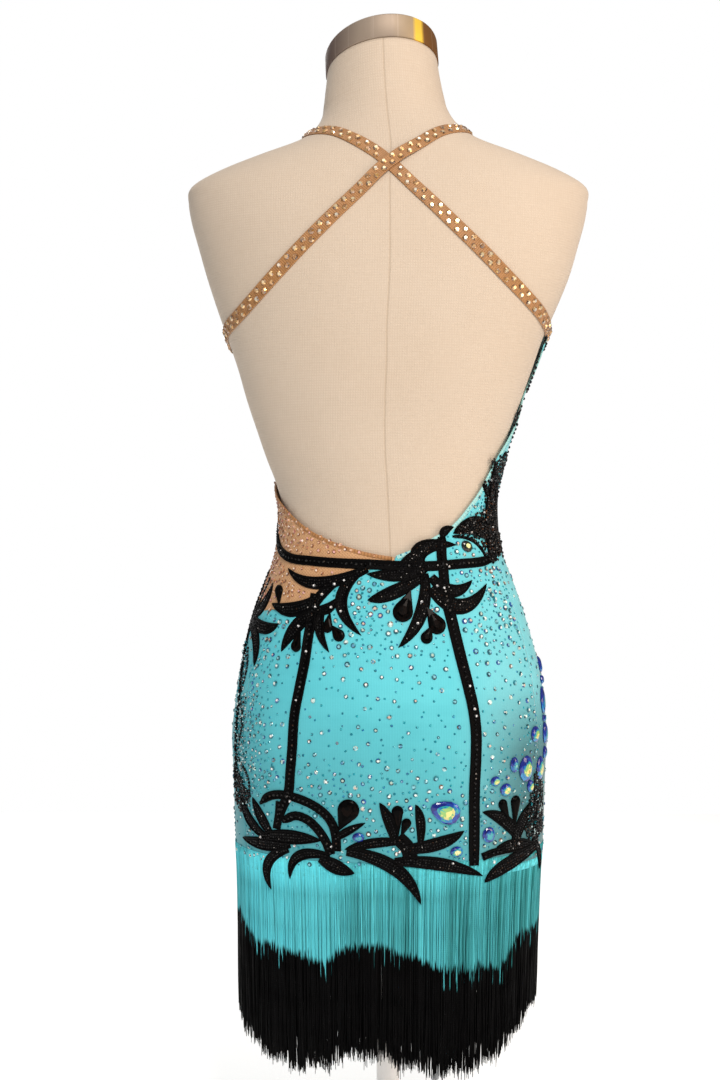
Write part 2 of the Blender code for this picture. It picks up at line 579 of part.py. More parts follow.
HEM_LEFT = {
    "bands": [([(143, 403), (133, 411), (120, 415), (107, 415), (92, 412), (77, 406), (66, 398), (59, 388), (56, 377),
                (55, 361)], 9.5, (0.3, 1)),
              ([(117, 408), (118, 396), (121, 379)], 9.5, (1, 1)),
              ([(114, 388), (98, 395), (86, 392), (75, 383), (66, 370), (61, 357)], 9.5, (0.5, 1))],
    "leaves": [((138, 369), (105, 372), (71, 371), 15), ((105, 365), (135, 361), (175, 362), 14),
               ((107, 359), (132, 341), (128, 314), 11.5), ((62, 355), (95, 353), (105, 328), 11),
               ((72, 353), (55, 344), (37, 338), 15), ((129, 374), (142, 389), (155, 408), 12),
               ((137, 369.5), (163, 386), (177, 407), 12), ((57, 373), (44, 382), (26, 391), 8)],
    "drops": [((53, 382), (43, 404), 22)],
}
HEM_CENTRE = {
    "bands": [([(-6, 376), (-16, 366), (-20, 351)], 15, (1, 1))],
    "leaves": [((-11, 372), (20, 370), (47, 363), 10), ((45, 361), (-3, 344), (-30, 306), 14.5),
               ((-3, 351), (-51, 347), (-95, 332), 13.5), ((-11, 364), (-47, 369), (-74, 381), 13.5),
               ((-4, 372), (2, 393), (12, 412), 11.5), ((-29, 370), (-29, 393), (-24, 410), 9.5)],
    "drops": [((-7, 376), (-6, 403), 12), ((-9, 376), (-15, 391), 10)],
}
HEM_RIGHT = {
    "bands": [([(-94, 352), (-104, 355), (-122, 357)], 8.5, (1, 1))],
    "leaves": [((-140, 366), (-120, 388), (-94, 399), 13.5), ((-170.5, 354), (-124, 341), (-97, 325), 15.5),
               ((-112, 357), (-135, 360), (-168, 357), 14), ((-133, 360), (-147, 386), (-170, 404), 14),
               ((-165, 355), (-175, 387), (-179, 413), 13), ((-167, 362), (-180, 343), (-182, 326), 9)],
    "drops": [((-128, 382), (-118, 405), 11), ((-133, 376), (-135, 406), 13)],
}
STONE_COLUMNS = ("name", "s", "z", "width", "height", "turn", "on", "look")
STONES = [
    ("hem_pear", -54, 402, 31, 22, 22, "cloth", "pale stone"),
    ("hem_blue", -101, 375, 14, 16, 0, "cloth", "blue stone"),
    ("hem_yellow", -66, 360, 13, 11, 0, "cloth", "pale stone"),
    ("hem_dark", 33, 376.5, 12, 9, 0, "cloth", "blue stone"),
    ("hip_large", -150, 439, 21, 27, 0, "cloth", "pale stone"),
    ("hip_small", -121.5, 420, 14, 13, 0, "cloth", "pale stone"),
    ("hip_upper", -166, 473, 15, 16, 0, "cloth", "pale stone"),
    ("hip_side", -179, 436, 16, 25, 0, "cloth", "pale stone"),
    ("hip_edge", -193, 471, 12, 22, 0, "cloth", "blue stone"),
    ("hip_top", -192, 505, 12, 28, 0, "cloth", "blue stone"),
    ("waist", -82, 669.5, 14, 11, 38, "cloth", "pale stone"),
]


def beadwork():
    outlines = [leaf(*r[:3], r[3], steps=5 if r[3] < 15 else 7) for r in WAIST_LEAVES]
    outlines += [drop(*r) for r in WAIST_DROPS]
    outlines += [band_line(line, width, taper) for line, width, taper in WAIST_BANDS]
    inside = [r[1] for r in WAIST_DROPS if r[2] > 15]
    inside += [tuple(p) for r in WAIST_LEAVES if r[3] > 15 for p in middle_line(*r[:3], 6)]
    tree = ground(PANELS)
    cdt_solid("waist_beading", outlines, inside, "black beads", tree)
    for name, line, width, taper in (("band_left", BAND_LEFT, 11, (0.85, 0.9)), ("band_right", BAND_RIGHT, 12, (0.9, 0.9))):
        cdt_solid(name, [band_line(line, width, taper, 14.0)], [], "black beads", tree)
    cdt_solid("side_cord_left", [band_line(SIDE_CORD, 5.5, (0.7, 0.7), 14.0)] + [leaf(*r) for r in SIDE_LEAVES], [],
              "black beads", tree)
    for name, spray in (("hem_spray_left", HEM_LEFT), ("hem_spray_centre", HEM_CENTRE), ("hem_spray_right", HEM_RIGHT)):
        outlines = [leaf(*r, steps=5) for r in spray["leaves"]] + [drop(*r) for r in spray["drops"]]
        outlines += [band_line(line, width, taper) for line, width, taper in spray["bands"]]
        cdt_solid(name, outlines, [r[1] for r in spray["drops"] if r[2] > 15], "black beads", tree)


def stones():
    sides = 10
    on_cloth, on_beads = ground(PANELS), ground(("waist_beading",))
    a = np.arange(sides) * 2 * math.pi / sides
    fan = [(0, i, (i + 1) % sides) for i in range(1, sides - 1)]
    for name, s, z, width, height, turn, on, look in STONES:
        c, d = math.cos(math.radians(turn)), math.sin(math.radians(turn))
        outlines = []
        for share in (1.0, 0.62):
            x, y = width / 2 * share * np.cos(a), height / 2 * share * np.sin(a)
            rs, rz = s + x * c - y * d, z + x * d + y * c
            outlines.append((to_q(rs, rz), rz))
        flat = settle(*outlines[0], fan, 0.3, on_beads if on == "beads" else on_cloth, OUTSIDE)
        rings = [place(*outlines[k], flat + lift) for k, lift in ((0, 0.0), (0, 1.4), (1, 3.4))]
        faces = [t[::-1] for t in fan] + [tuple(range(2 * sides, 3 * sides))]
        for k in range(2):
            for i in range(sides):
                j = (i + 1) % sides
                faces.append((k * sides + i, k * sides + j, (k + 1) * sides + j, (k + 1) * sides + i))
        solid("stone_" + name, np.concatenate(rings), faces, look)


# Fringe: how low its strands end, by q.
FRINGE_TIPS = [(-2.0, 152), (-1.25, 165), (-1.0, 184), (-0.8, 182), (-0.62, 153), (-0.5, 138), (-0.35, 131),
               (-0.2, 130), (-0.1, 137), (0.02, 146), (0.15, 149), (0.25, 146), (0.35, 136), (0.5, 134), (0.66, 142),
               (0.85, 164), (1.0, 177), (1.25, 170), (1.6, 158), (2.0, 152)]
STRANDS = 216
STRIP_HIGH = 8.0


def fringe():
    """One narrow strip round the hem, its strands growing out of its lower edge with gaps between."""
    top_z, low_z = HEM_Z - SEAM_GAP, HEM_Z - SEAM_GAP - STRIP_HIGH
    cells = 2 * STRANDS
    share = np.array([k // 2 / STRANDS + (0.62 / STRANDS if k % 2 else 0.0) for k in range(cells)])
    q = -2 + 4 * share
    tips = smooth_edge(FRINGE_TIPS)
    low_in, low_out = (place(q, np.full(cells, low_z), np.full(cells, CLOTH_GAP + t)) for t in (0, 1.4))
    every = 4
    top_q = q[::every]
    high_in, high_out = (place(top_q, np.full(len(top_q), top_z), np.full(len(top_q), CLOTH_GAP + t)) for t in (0, 1.4))
    points = [*low_in, *low_out, *high_in, *high_out]
    a, b, c, d = 0, cells, 2 * cells, 2 * cells + len(top_q)
    faces = []
    tops = len(top_q)
    for i in range(tops):
        j = (i + 1) % tops
        cols = [(every * i + k) % cells for k in range(every + 1)]
        for side, low, high in ((1, b, d), (0, a, c)):
            tri = [(low + cols[0], low + cols[1], high + i), (low + cols[1], low + cols[2], high + i),
                   (low + cols[2], high + j, high + i), (low + cols[2], low + cols[3], high + j),
                   (low + cols[3], low + cols[4], high + j)]
            faces += [t if side else t[::-1] for t in tri]
        faces.append((d + i, d + j, c + j, c + i))
    for k in range(cells):
        n = (k + 1) % cells
        if k % 2:
            faces.append((a + k, a + n, b + n, b + k))
            continue
        number = k // 2
        middle_q = (q[k] + (q[n] if n else 2.0)) / 2
        end_z = float(tips(middle_q)) + 5.0 * math.sin(number * 2.4) + 3.0 * math.sin(number * 5.1)
        root = np.array([low_in[k], low_in[n], low_out[n], low_out[k]])
        centre = root.mean(0)
        away = (low_out[k] - low_in[k]) / np.linalg.norm(low_out[k] - low_in[k])
        shift = away * (-4.0, 1.5, -1.0)[number % 3]
        drawn = centre + (root - centre) * 0.55 + shift
        drawn[:, :2] *= 0.945
        drawn[:, 2] = end_z
        e = len(points)
        points += [*drawn]
        ring = [a + k, a + n, b + n, b + k]
        for m in range(4):
            p = (m + 1) % 4
            faces.append((ring[m], ring[p], e + p, e + m))
        faces.append((e, e + 1, e + 2, e + 3))
    o = solid("fringe", points, faces, "fringe black")
    return o


# ------------------------------------------------------------------ the dress form
FORM_SIDES = 36
FORM_ROWS = [FORM_BOTTOM_Z, 345, 385, 425, 465, 505, 540, 570, 600, 630, 658, 684, 708, 732, 762, 792, 818, 842, 866,
             890, 914, 938, 964, 996, 1025, 1048, 1062, 1074, 1085, 1097, 1109, 1121, 1135, 1155, NECK_TOP_Z]
BASE_RADIUS, BASE_HIGH = 150.0, 10.0
POLE_RADIUS = 12.5


def stack(name, rings, look):
    """A closed solid through rings of the same number of points, from the bottom up."""
    n = len(rings[0])
    faces = [tuple(range(n))[::-1], tuple((len(rings) - 1) * n + k for k in range(n))]
    for i in range(len(rings) - 1):
        for k in range(n):
            m = (k + 1) % n
            faces.append((i * n + k, i * n + m, (i + 1) * n + m, (i + 1) * n + k))
    return solid(name, np.concatenate(rings), faces, look)


def lathe(name, profile, sides, look):
    a = np.arange(sides) * 2 * math.pi / sides
    return stack(name, [np.stack([r * np.cos(a), r * np.sin(a), np.full(sides, float(z))], 1) for r, z in profile], look)


def dress_form():
    q = 4 * np.arange(FORM_SIDES) / FORM_SIDES
    rings = [place(q, np.full(FORM_SIDES, float(z)), np.zeros(FORM_SIDES)) for z in FORM_ROWS]
    stack("form_body", rings, "linen")
    cap = [place(q, np.full(FORM_SIDES, float(z)), np.full(FORM_SIDES, out))
           for z, out in ((CAP_BOTTOM_Z, 0.6), (CAP_BOTTOM_Z + 1.0, 1.4), (CAP_TOP_Z - 1.5, 1.4), (CAP_TOP_Z, 0.0))]
    stack("form_neck_cap", cap, "brushed steel")
    bottom = FORM_BOTTOM_Z - SEAM_GAP
    lathe("form_collar", [(POLE_RADIUS + 9, bottom - 34), (POLE_RADIUS + 11, bottom - 31), (POLE_RADIUS + 11, bottom - 10),
                          (44, bottom - 6), (44, bottom)], 24, "brushed steel")
    lathe("form_pole", [(POLE_RADIUS, BASE_HIGH + 14.3), (POLE_RADIUS, bottom - 34 - SEAM_GAP)], 24, "brushed steel")
    lathe("form_base", [(BASE_RADIUS - 3, 0), (BASE_RADIUS, 2), (BASE_RADIUS, BASE_HIGH - 3), (BASE_RADIUS - 4, BASE_HIGH),
                        (POLE_RADIUS + 12, BASE_HIGH + 1), (POLE_RADIUS + 8, BASE_HIGH + 14)], 40, "brushed steel")


def build():
    for o in list(bpy.data.objects):
        bpy.data.objects.remove(o, do_unlink=True)
    dress_form()
    cloth_panels()
    straps()
    beadwork()
    stones()
    fringe()


build()
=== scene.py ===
"""A salsa dance dress on a limbless dress form: cloth, mesh, beadwork, crystals, stones and fringe.

Sizes in the tables are millimetres, and the scene is in metres. The dress faces -Y and stands on z = 0.
A place on the garment is (q, z): q runs round the body, 0 at the centre back, 1 at the wearer's left side
line (+X), 2 at the centre front and -1 at the right side line. (s, z) is the same place with s in
millimetres round the body from the centre back.
"""
import json
import math

import bmesh
import bpy
import numpy as np
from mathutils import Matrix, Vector
from mathutils.bvhtree import BVHTree
from mathutils.kdtree import KDTree

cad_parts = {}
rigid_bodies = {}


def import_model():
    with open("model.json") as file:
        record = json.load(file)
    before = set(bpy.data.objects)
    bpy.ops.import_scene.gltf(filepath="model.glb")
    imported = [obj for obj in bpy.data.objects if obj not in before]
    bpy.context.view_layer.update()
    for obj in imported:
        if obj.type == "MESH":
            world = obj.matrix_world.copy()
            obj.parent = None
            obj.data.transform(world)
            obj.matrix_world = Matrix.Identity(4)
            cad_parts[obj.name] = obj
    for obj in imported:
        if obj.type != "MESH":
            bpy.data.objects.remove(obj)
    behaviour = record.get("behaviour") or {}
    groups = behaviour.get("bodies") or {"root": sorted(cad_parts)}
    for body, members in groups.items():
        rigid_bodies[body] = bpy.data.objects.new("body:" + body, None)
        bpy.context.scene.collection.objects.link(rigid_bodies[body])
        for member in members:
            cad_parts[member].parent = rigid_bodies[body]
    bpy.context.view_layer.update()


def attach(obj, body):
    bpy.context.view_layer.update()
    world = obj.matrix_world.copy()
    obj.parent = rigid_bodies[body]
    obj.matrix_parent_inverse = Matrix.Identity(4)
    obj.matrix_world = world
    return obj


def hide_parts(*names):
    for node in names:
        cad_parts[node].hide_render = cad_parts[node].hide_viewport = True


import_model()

bl_info = {
    "name": "Salsa Dance Dress",
    "version": (1, 0, 0),
    "blender": (4, 5, 0),
    "location": "View3D > Sidebar > Dress",
    "description": "Dresses the packed dress and its form in cloth, beads, crystals, stones and fringe",
    "category": "Object",
}

MM = 0.001
TINY = 1e-9

# ------------------------------------------------------------------ sizes, in millimetres
CLOTH_GAP = 2.4        # the form's skin to the inside of the cloth
CLOTH_THICK = 1.5
BUST_EASE = 0.8        # the bodice stands off the form a little more
OUTSIDE = CLOTH_GAP + CLOTH_THICK
INSIDE = CLOTH_GAP + 0.3        # the inside of the drawn cloth
SEAM_GAP = 0.3
SEAM_Q = 0.0008
STRAP_WIDTH = 15.0
STRAP_THICK = 1.5
HEM_Z = 340.0
FORM_BOTTOM_Z = 306.0
SIDE_SEAM = 0.75       # q of both side seams, behind the side line
SCOOP_END_Q, TIP_Q, MESH_END_Q = -0.036, -0.02, 1.415    # the scoop's left end, the mesh's tip and its far end
BOW_FROM_Q, BOW_RUN_Q = 2.75, 0.4992
CROSSING = (0.006, 1071.5)       # where the straps cross, as (q, z)
MOST_LIFT = 0.6        # of the drag lines
SKIN_LOW, SKIN_HIGH = 300.0, 1220.0
FRINGE_FREE_Z = 302.0  # below it the strands hang free of the form
NECK_TOP_Z = 1199.5
CAP_BOTTOM_Z = 1200.0
BASE_RADIUS, BASE_HIGH, POLE_RADIUS = 150.0, 10.0, 12.5
ROLL = -0.10           # the neck cap tips down to the wearer's left, once the lean is full
NECK_SHIFT = 6.0       # and the neck stands that far to the wearer's left
LEAN_FULL = 0.33
BUST = {"across": 84.0, "z": 893.0, "wide": 62.0, "high": 62.0, "deep": 10.0}

# The body, a row for each height. back and front are measured from y = 0, side_y is where the widest
# line lies, lean tips a row about its side line, square is the exponent of the section, sway moves a row
# to the wearer's left.
BODY_COLUMNS = ("z", "half_width", "back", "front", "side_y", "lean", "square", "sway")
BODY_ROWS = [
    (300, 163.1, 118.6, 95.6, 8, 0.0, 2.15, -1.0),
    (340, 163.3, 119, 96, 8, 0.0, 2.15, -1.0),
    (380, 164.5, 124, 99, 8, 0.0, 2.15, -1.0),
    (435, 166.2, 129, 103, 8, 0.0, 2.15, -1.0),
    (468, 167.5, 130, 105, 8, 0.0, 2.15, -1.2),
    (501, 164.3, 127, 107, 7, 0.0, 2.15, -1.5),
    (534, 160.0, 121, 108, 5, 0.0, 2.18, -1.5),
    (567, 152.4, 113, 107, 3, 0.0, 2.2, -1.0),
    (600, 142.8, 103, 105, 1, 0.0, 2.2, -1.0),
    (633, 130.8, 94, 101, -1, 0.0, 2.2, -1.5),
    (666, 119.6, 87, 96, -3, 0.0, 2.2, -0.5),
    (699, 115.6, 82, 92, -4, 0.0, 2.2, 0.8),
    (716, 115.6, 81, 91, -4, 0.0, 2.2, 1.6),
    (740, 120.4, 82, 92, -4, 0.0, 2.22, 2.8),
    (765, 128.3, 84, 94, -3, 0.0, 2.25, 4.6),
    (798, 139.0, 88, 100, -2, 0.0, 2.3, 5.2),
    (831, 150.5, 94, 112, -1, 0.0, 2.35, 4.6),
    (864, 161.0, 99, 124, 0, 0.0, 2.4, 3.4),
    (897, 172.5, 103, 131, 0, 0.0, 2.4, 3.2),
    (930, 185.7, 106, 127, 0, 0.0, 2.4, 1.6),
    (963, 197.8, 107, 114, 0, 0.0, 2.4, 0.2),
    (996, 207.5, 105, 98, -2, 0.0, 2.38, 0.0),
    (1029, 216.5, 98, 84, -4, 0.0, 2.35, 0.0),
    (1045, 219.0, 93, 77, -5, 0.0, 2.3, 0.0),
    (1062, 217.5, 86, 70, -5, 0.0, 2.25, -0.6),
    (1078, 191.5, 79, 64, -5, 0.0, 2.2, -1.5),
    (1095, 149.5, 71, 60, -5, 0.01, 2.15, -1.5),
    (1111, 105.0, 61, 59, -6, 0.04, 2.1, -0.8),
    (1128, 81.0, 51, 61, -8, 0.1, 2.05, 0.0),
    (1144, 70.5, 44, 65, -11, 0.17, 2.0, 0.0),
    (1161, 66.8, 39, 69, -15, 0.24, 2.0, 0.0),
    (1178, 64.2, 36, 74, -19, 0.29, 2.0, 0.0),
    (1200, 61.5, 34, 78, -22, 0.33, 2.0, 0.0),
    (1220, 61.0, 33, 79, -23, 0.4, 2.0, 0.0),
]


def curve_through(xs, ys):
    """A smooth curve through the rows of one column."""
    xs, ys = np.array(xs, float), np.array(ys, float)
    h = np.diff(xs)
    d = np.diff(ys) / h
    m = np.concatenate([[d[0]], (d[:-1] * h[1:] + d[1:] * h[:-1]) / (h[:-1] + h[1:]), [d[-1]]])

    def value(x):
        x = np.asarray(x, float)
        i = np.clip(np.searchsorted(xs, x) - 1, 0, len(xs) - 2)
        t = (x - xs[i]) / h[i]
        return ((2 * t**3 - 3 * t**2 + 1) * ys[i] + (t**3 - 2 * t**2 + t) * h[i] * m[i]
                + (-2 * t**3 + 3 * t**2) * ys[i + 1] + (t**3 - t**2) * h[i] * m[i + 1])

    return value


def runs(line):
    """How far along a line each of its points lies."""
    return np.concatenate([[0], np.cumsum(np.linalg.norm(np.diff(line, axis=0), axis=1))])


_rows = np.array(BODY_ROWS, float)
BODY = {name: curve_through(_rows[:, 0], _rows[:, k]) for k, name in enumerate(BODY_COLUMNS)}


def section(angle, z):
    """Points of the body's skin in mm: angle 0 at the back, a quarter turn at the wearer's left."""
    hw, back, front = BODY["half_width"](z), BODY["back"](z), BODY["front"](z)
    side, lean, power = BODY["side_y"](z), BODY["lean"](z), 2.0 / BODY["square"](z)
    s, c = np.sin(angle), np.cos(angle)
    x = hw * np.sign(s) * np.abs(s) ** power
    deep = np.where(c >= 0, back - side, front + side)
    y = side + deep * np.sign(c) * np.abs(c) ** power
    mound = sum(np.exp(-((x - k * BUST["across"]) / BUST["wide"]) ** 2 - ((z - BUST["z"]) / BUST["high"]) ** 2)
                for k in (-1, 1))
    y = y - BUST["deep"] * mound * np.clip(-c, 0, 1) ** 0.7
    height = z + lean * (y - side) + ROLL * lean / LEAN_FULL * x
    return x + NECK_SHIFT * lean / LEAN_FULL + BODY["sway"](z), y, height


# Angles that cut each quarter into equal lengths, for a ladder of heights.
LADDER = np.arange(SKIN_LOW, SKIN_HIGH + 1, 4.0)
STEPS = 32


def quarters():
    found, lengths = [], []
    near = np.linspace(0, 1, 161) ** 1.5 * math.pi / 4
    angles = np.unique(np.concatenate([near, math.pi / 2 - near]))
    for start in (0.0, math.pi / 2):
        table, sizes = [], []
        for z in LADDER:
            run = runs(np.stack(section(angles + start, np.full(len(angles), z)), axis=-1))
            table.append(np.interp(np.linspace(0, run[-1], STEPS + 1), run, angles + start))
            sizes.append(run[-1])
        found.append(np.array(table))
        lengths.append(np.array(sizes))
    return found, lengths


QUARTER_ANGLES, QUARTER_LENGTHS = quarters()


def back_length(z):
    """Millimetres round the body from the centre back to the side line."""
    return np.interp(z, LADDER, QUARTER_LENGTHS[0])


def front_length(z):
    return np.interp(z, LADDER, QUARTER_LENGTHS[1])


def angle_of(q, z):
    q = (np.asarray(q, float) + 2.0) % 4.0 - 2.0
    side, q = np.where(q < 0, -1.0, 1.0), np.abs(q)
    row = np.clip((np.asarray(z, float) - LADDER[0]) / (LADDER[1] - LADDER[0]), 0, len(LADDER) - 1.001)
    r = row.astype(int)
    rf = row - r
    result = np.zeros(np.broadcast(q, row).shape)
    for k, table in enumerate(QUARTER_ANGLES):
        col = np.clip((q - k) * STEPS, 0, STEPS - 1e-6)
        c = col.astype(int)
        cf = col - c
        a = ((table[r, c] * (1 - cf) + table[r, c + 1] * cf) * (1 - rf)
             + (table[r + 1, c] * (1 - cf) + table[r + 1, c + 1] * cf) * rf)
        result = np.where((q <= 1) if k == 0 else (q > 1), a, result)
    return side * result


def skin(q, z):
    q, z = np.broadcast_arrays(np.asarray(q, float), np.asarray(z, float))
    return np.stack(section(angle_of(q, z), z), axis=-1)


def upward(q, z):
    return skin(q, np.minimum(z + 2, SKIN_HIGH)) - skin(q, np.maximum(z - 2, SKIN_LOW))


def place(q, z, out):
    """Points in mm at (q, z), moved out from the form's skin."""
    q, z = np.broadcast_arrays(np.asarray(q, float), np.asarray(z, float))
    n = np.cross(skin(q + 0.012, z) - skin(q - 0.012, z), upward(q, z))
    n /= np.maximum(np.linalg.norm(n, axis=-1, keepdims=True), TINY)
    p = skin(q, z)
    outward = n[..., 0] * p[..., 0] + n[..., 1] * (p[..., 1] - BODY["side_y"](z))
    n = np.where(outward[..., None] < 0, -n, n)
    return p + n * np.asarray(out, float)[..., None]


def to_q(s, z):
    """q from s, the millimetres round the body from the centre back, also past the centre front."""
    s, z = np.asarray(s, float), np.asarray(z, float)
    b, f, far = back_length(z), front_length(z), np.abs(s)
    q = np.where(far <= b, far / b, np.where(far <= b + 2 * f, 1 + (far - b) / f, 3 + (far - b - 2 * f) / b))
    return np.sign(s) * q


# ------------------------------------------------------------------ seams, straps and beadwork
# The scoop's edge at the back, from the wearer's right to the tip of the mesh panel.
SCOOP_RIGHT = [(-0.76, 766.0), (-0.745, 761.0), (-0.64, 730.0), (-0.53, 709.5), (-0.392, 689.5),
               (-0.282, 679.5), (-0.11, 664.5), (-0.036, 660.0)]
MESH_LOW = [(-0.02, 653.9), (0.17, 643.0), (0.388, 618.0), (0.62, 603.5), (0.965, 596.0), (1.2, 598.0),
            (1.55, 612.0)]
MESH_HIGH = [(-0.02, 658.4), (0.13, 662.8), (0.298, 671.0), (0.525, 687.0), (0.704, 705.0), (0.97, 730.0),
             (1.2, 750.0), (1.42, 778.0)]
WAIST_SEAM = [(1.55, 612.0), (1.75, 640.0), (2.0, 672.0), (2.25, 690.0), (2.5, 698.0), (2.75, 701.0),
              (3.25, 702.0)]
BODICE_ROWS = [
    (1.150, 866.0, 1.145, 893.0),
    (1.215, 836.0, 1.220, 914.0),
    (1.305, 802.0, 1.310, 938.0),
    (1.4217, 778.3, 1.430, 965.0),
    (1.4867, 695.3, 1.500, 977.0),
    (1.5517, 612.3, 1.590, 972.0),
    (1.750, 640.3, 1.780, 944.0),
    (2.000, 672.3, 2.000, 917.0),
    (2.250, 690.3, 2.220, 944.0),
    (2.500, 698.3, 2.430, 973.0),
    (2.750, 701.3, 2.600, 966.0),
    (3.000, 702.0, 2.930, 914.0),
    (3.2492, 702.3, 3.2492, 890.0),
]
# How far the bodice's edge behind the wearer's right arm bows forward, in q, by height.
EDGE_BOW = [(702.0, 0.0), (764.0, 0.0), (786.0, -0.09), (812.0, -0.22), (838.0, -0.34), (862.0, -0.26),
            (890.0, -0.17)]

# Straps as (q, z) places, from the side to the neck and down to the top of the bodice.
STRAP_OVER = [(1.27, 894.0), (1.14, 897.0), (1.0, 899.5), (0.87, 903.5), (0.739, 911.5), (0.61, 928.0),
              (0.466, 955.5), (0.294, 995.0), (0.129, 1037.0), (0.006, 1071.0), (-0.101, 1087.5),
              (-0.274, 1102.5), (-0.48, 1112.0), (-0.76, 1118.5), (-1.0, 1121.0), (-1.24, 1115.0),
              (-1.45, 1092.0), (-1.56, 1050.0), (-1.545, 1005.0), (-1.5, 962.0)]
STRAP_UNDER = [(-1.16, 905.0), (-1.02, 905.5), (-0.93, 907.0), (-0.867, 909.0), (-0.785, 914.0),
               (-0.639, 929.5), (-0.474, 955.5), (-0.289, 995.0), (-0.123, 1037.0), (0.006, 1071.0),
               (0.103, 1087.5), (0.252, 1101.0), (0.469, 1112.0), (0.76, 1118.5), (1.0, 1121.0), (1.24, 1115.0),
               (1.45, 1092.0), (1.56, 1050.0), (1.545, 1005.0), (1.5, 962.0)]

WAIST_LEAVES = [((24, 646.5), (77, 631), (115, 646), 13), ((33, 642), (51, 611), (30, 578), 12.5),
                ((79, 614), (105, 603), (135, 608.5), 15), ((80, 600), (100, 585), (117, 560), 14),
                ((69, 604), (73.5, 584), (63, 561), 9.5), ((80, 604), (65, 605), (54, 617), 10.5),
                ((79, 604), (72, 619), (52, 632), 10.5), ((-33, 641), (-32, 666), (-70, 671), 17),
                ((-35, 645), (-6, 640), (25, 641), 13.5), ((-9, 642), (-21, 656), (-51, 678), 13),
                ((-32, 638), (0, 621), (24, 614), 14.5), ((-34, 641), (-30, 599), (-7, 566), 13.5),
                ((-41, 638), (-63, 623), (-86, 634), 13.5), ((-40, 626), (-73, 607), (-104, 630), 16),
                ((-55, 679), (-58, 686), (-68, 690), 9), ((-122, 722), (-126, 743), (-128, 763), 10),
                ((-121, 723), (-113, 732), (-108, 738), 7), ((-120, 678), (-120, 704), (-119, 728), 17),
                ((-130, 672), (-100, 691), (-67, 683), 22), ((-128, 664), (-141, 700), (-134, 742), 20),
                ((-120, 693), (-119, 670), (-118, 650), 16), ((-131, 662), (-157, 673), (-155, 682), 10)]
WAIST_DROPS = [((62, 602), (65, 586), 11.5), ((61, 588.5), (53, 578), 12.5), ((94, 586), (99, 566), 11.5),
               ((123, 606), (126, 622), 12), ((-20, 625), (-12, 602), 21), ((-35.5, 608), (-47, 588), 18),
               ((-41, 588), (-36, 576), 12.5)]
WAIST_BANDS = [([(172, 697), (150, 680), (136, 667), (118, 658.5), (82, 654), (51, 652), (22, 651), (-5, 649.5),
                 (-41, 649), (-72, 651), (-106, 654), (-124, 659)], 10.5, (0.8, 0.8)),
               ([(79, 620), (81, 604), (83, 592), (84, 581.5)], 10.5, (1.0, 1.0)),
               ([(-54, 679), (-53, 660), (-54, 645), (-55, 630), (-57, 613), (-60, 600.5)], 11, (0.8, 1.0)),
               ([(-66, 680), (-80, 679), (-93, 674), (-103, 665), (-108, 657)], 3.6, (0.6, 1.0))]
BAND_LEFT = [(84.8, 579), (88, 557), (95, 525), (100.4, 497), (102.4, 463), (104.8, 436), (105.9, 422)]
BAND_RIGHT = [(-61.6, 596.5), (-64.5, 584), (-70, 560), (-78, 527), (-83.4, 504), (-86.3, 480), (-86.3, 458),
              (-85, 424), (-85, 380), (-85, 344)]
SIDE_CORD = [(166, 642), (179, 612), (184, 585), (186, 560), (188, 530), (189, 500), (190, 470), (193, 440),
             (195, 412)]
SIDE_LEAVES = [((182, 596), (155, 604), (139, 627), 13), ((182, 594), (146, 583), (122, 588), 13),
               ((184, 588), (159, 572), (157, 543), 14)]
HEM_LEFT = {"bands": [([(143, 403), (133, 411), (120, 415), (107, 415), (92, 412), (77, 406), (66, 398),
                        (59, 388), (56, 377), (55, 361)], 9.5, (0.3, 1)),
                      ([(117, 408), (118, 396), (121, 379)], 9.5, (1, 1)),
                      ([(114, 388), (98, 395), (86, 392), (75, 383), (66, 370), (61, 357)], 9.5, (0.5, 1))],
            "leaves": [((138, 369), (105, 372), (71, 371), 15), ((105, 365), (135, 361), (175, 362), 14),
                       ((107, 359), (132, 341), (128, 314), 11.5), ((62, 355), (95, 353), (105, 328), 11),
                       ((72, 353), (55, 344), (37, 338), 15), ((129, 374), (142, 389), (155, 408), 12),
                       ((137, 369.5), (163, 386), (177, 407), 12), ((57, 373), (44, 382), (26, 391), 8)],
            "drops": [((53, 382), (43, 404), 22)]}
HEM_CENTRE = {"bands": [([(-6, 376), (-16, 366), (-20, 351)], 15, (1, 1))],
              "leaves": [((-11, 372), (20, 370), (47, 363), 10), ((45, 361), (-3, 344), (-30, 306), 14.5),
                         ((-3, 351), (-51, 347), (-95, 332), 13.5), ((-11, 364), (-47, 369), (-74, 381), 13.5),
                         ((-4, 372), (2, 393), (12, 412), 11.5), ((-29, 370), (-29, 393), (-24, 410), 9.5)],
              "drops": [((-7, 376), (-6, 403), 12), ((-9, 376), (-15, 391), 10)]}
HEM_RIGHT = {"bands": [([(-94, 352), (-104, 355), (-122, 357)], 8.5, (1, 1))],
             "leaves": [((-140, 366), (-120, 388), (-94, 399), 13.5),
                        ((-170.5, 354), (-124, 341), (-97, 325), 15.5),
                        ((-112, 357), (-135, 360), (-168, 357), 14),
                        ((-133, 360), (-147, 386), (-170, 404), 14),
                        ((-165, 355), (-175, 387), (-179, 413), 13),
                        ((-167, 362), (-180, 343), (-182, 326), 9)],
             "drops": [((-128, 382), (-118, 405), 11), ((-133, 376), (-135, 406), 13)]}
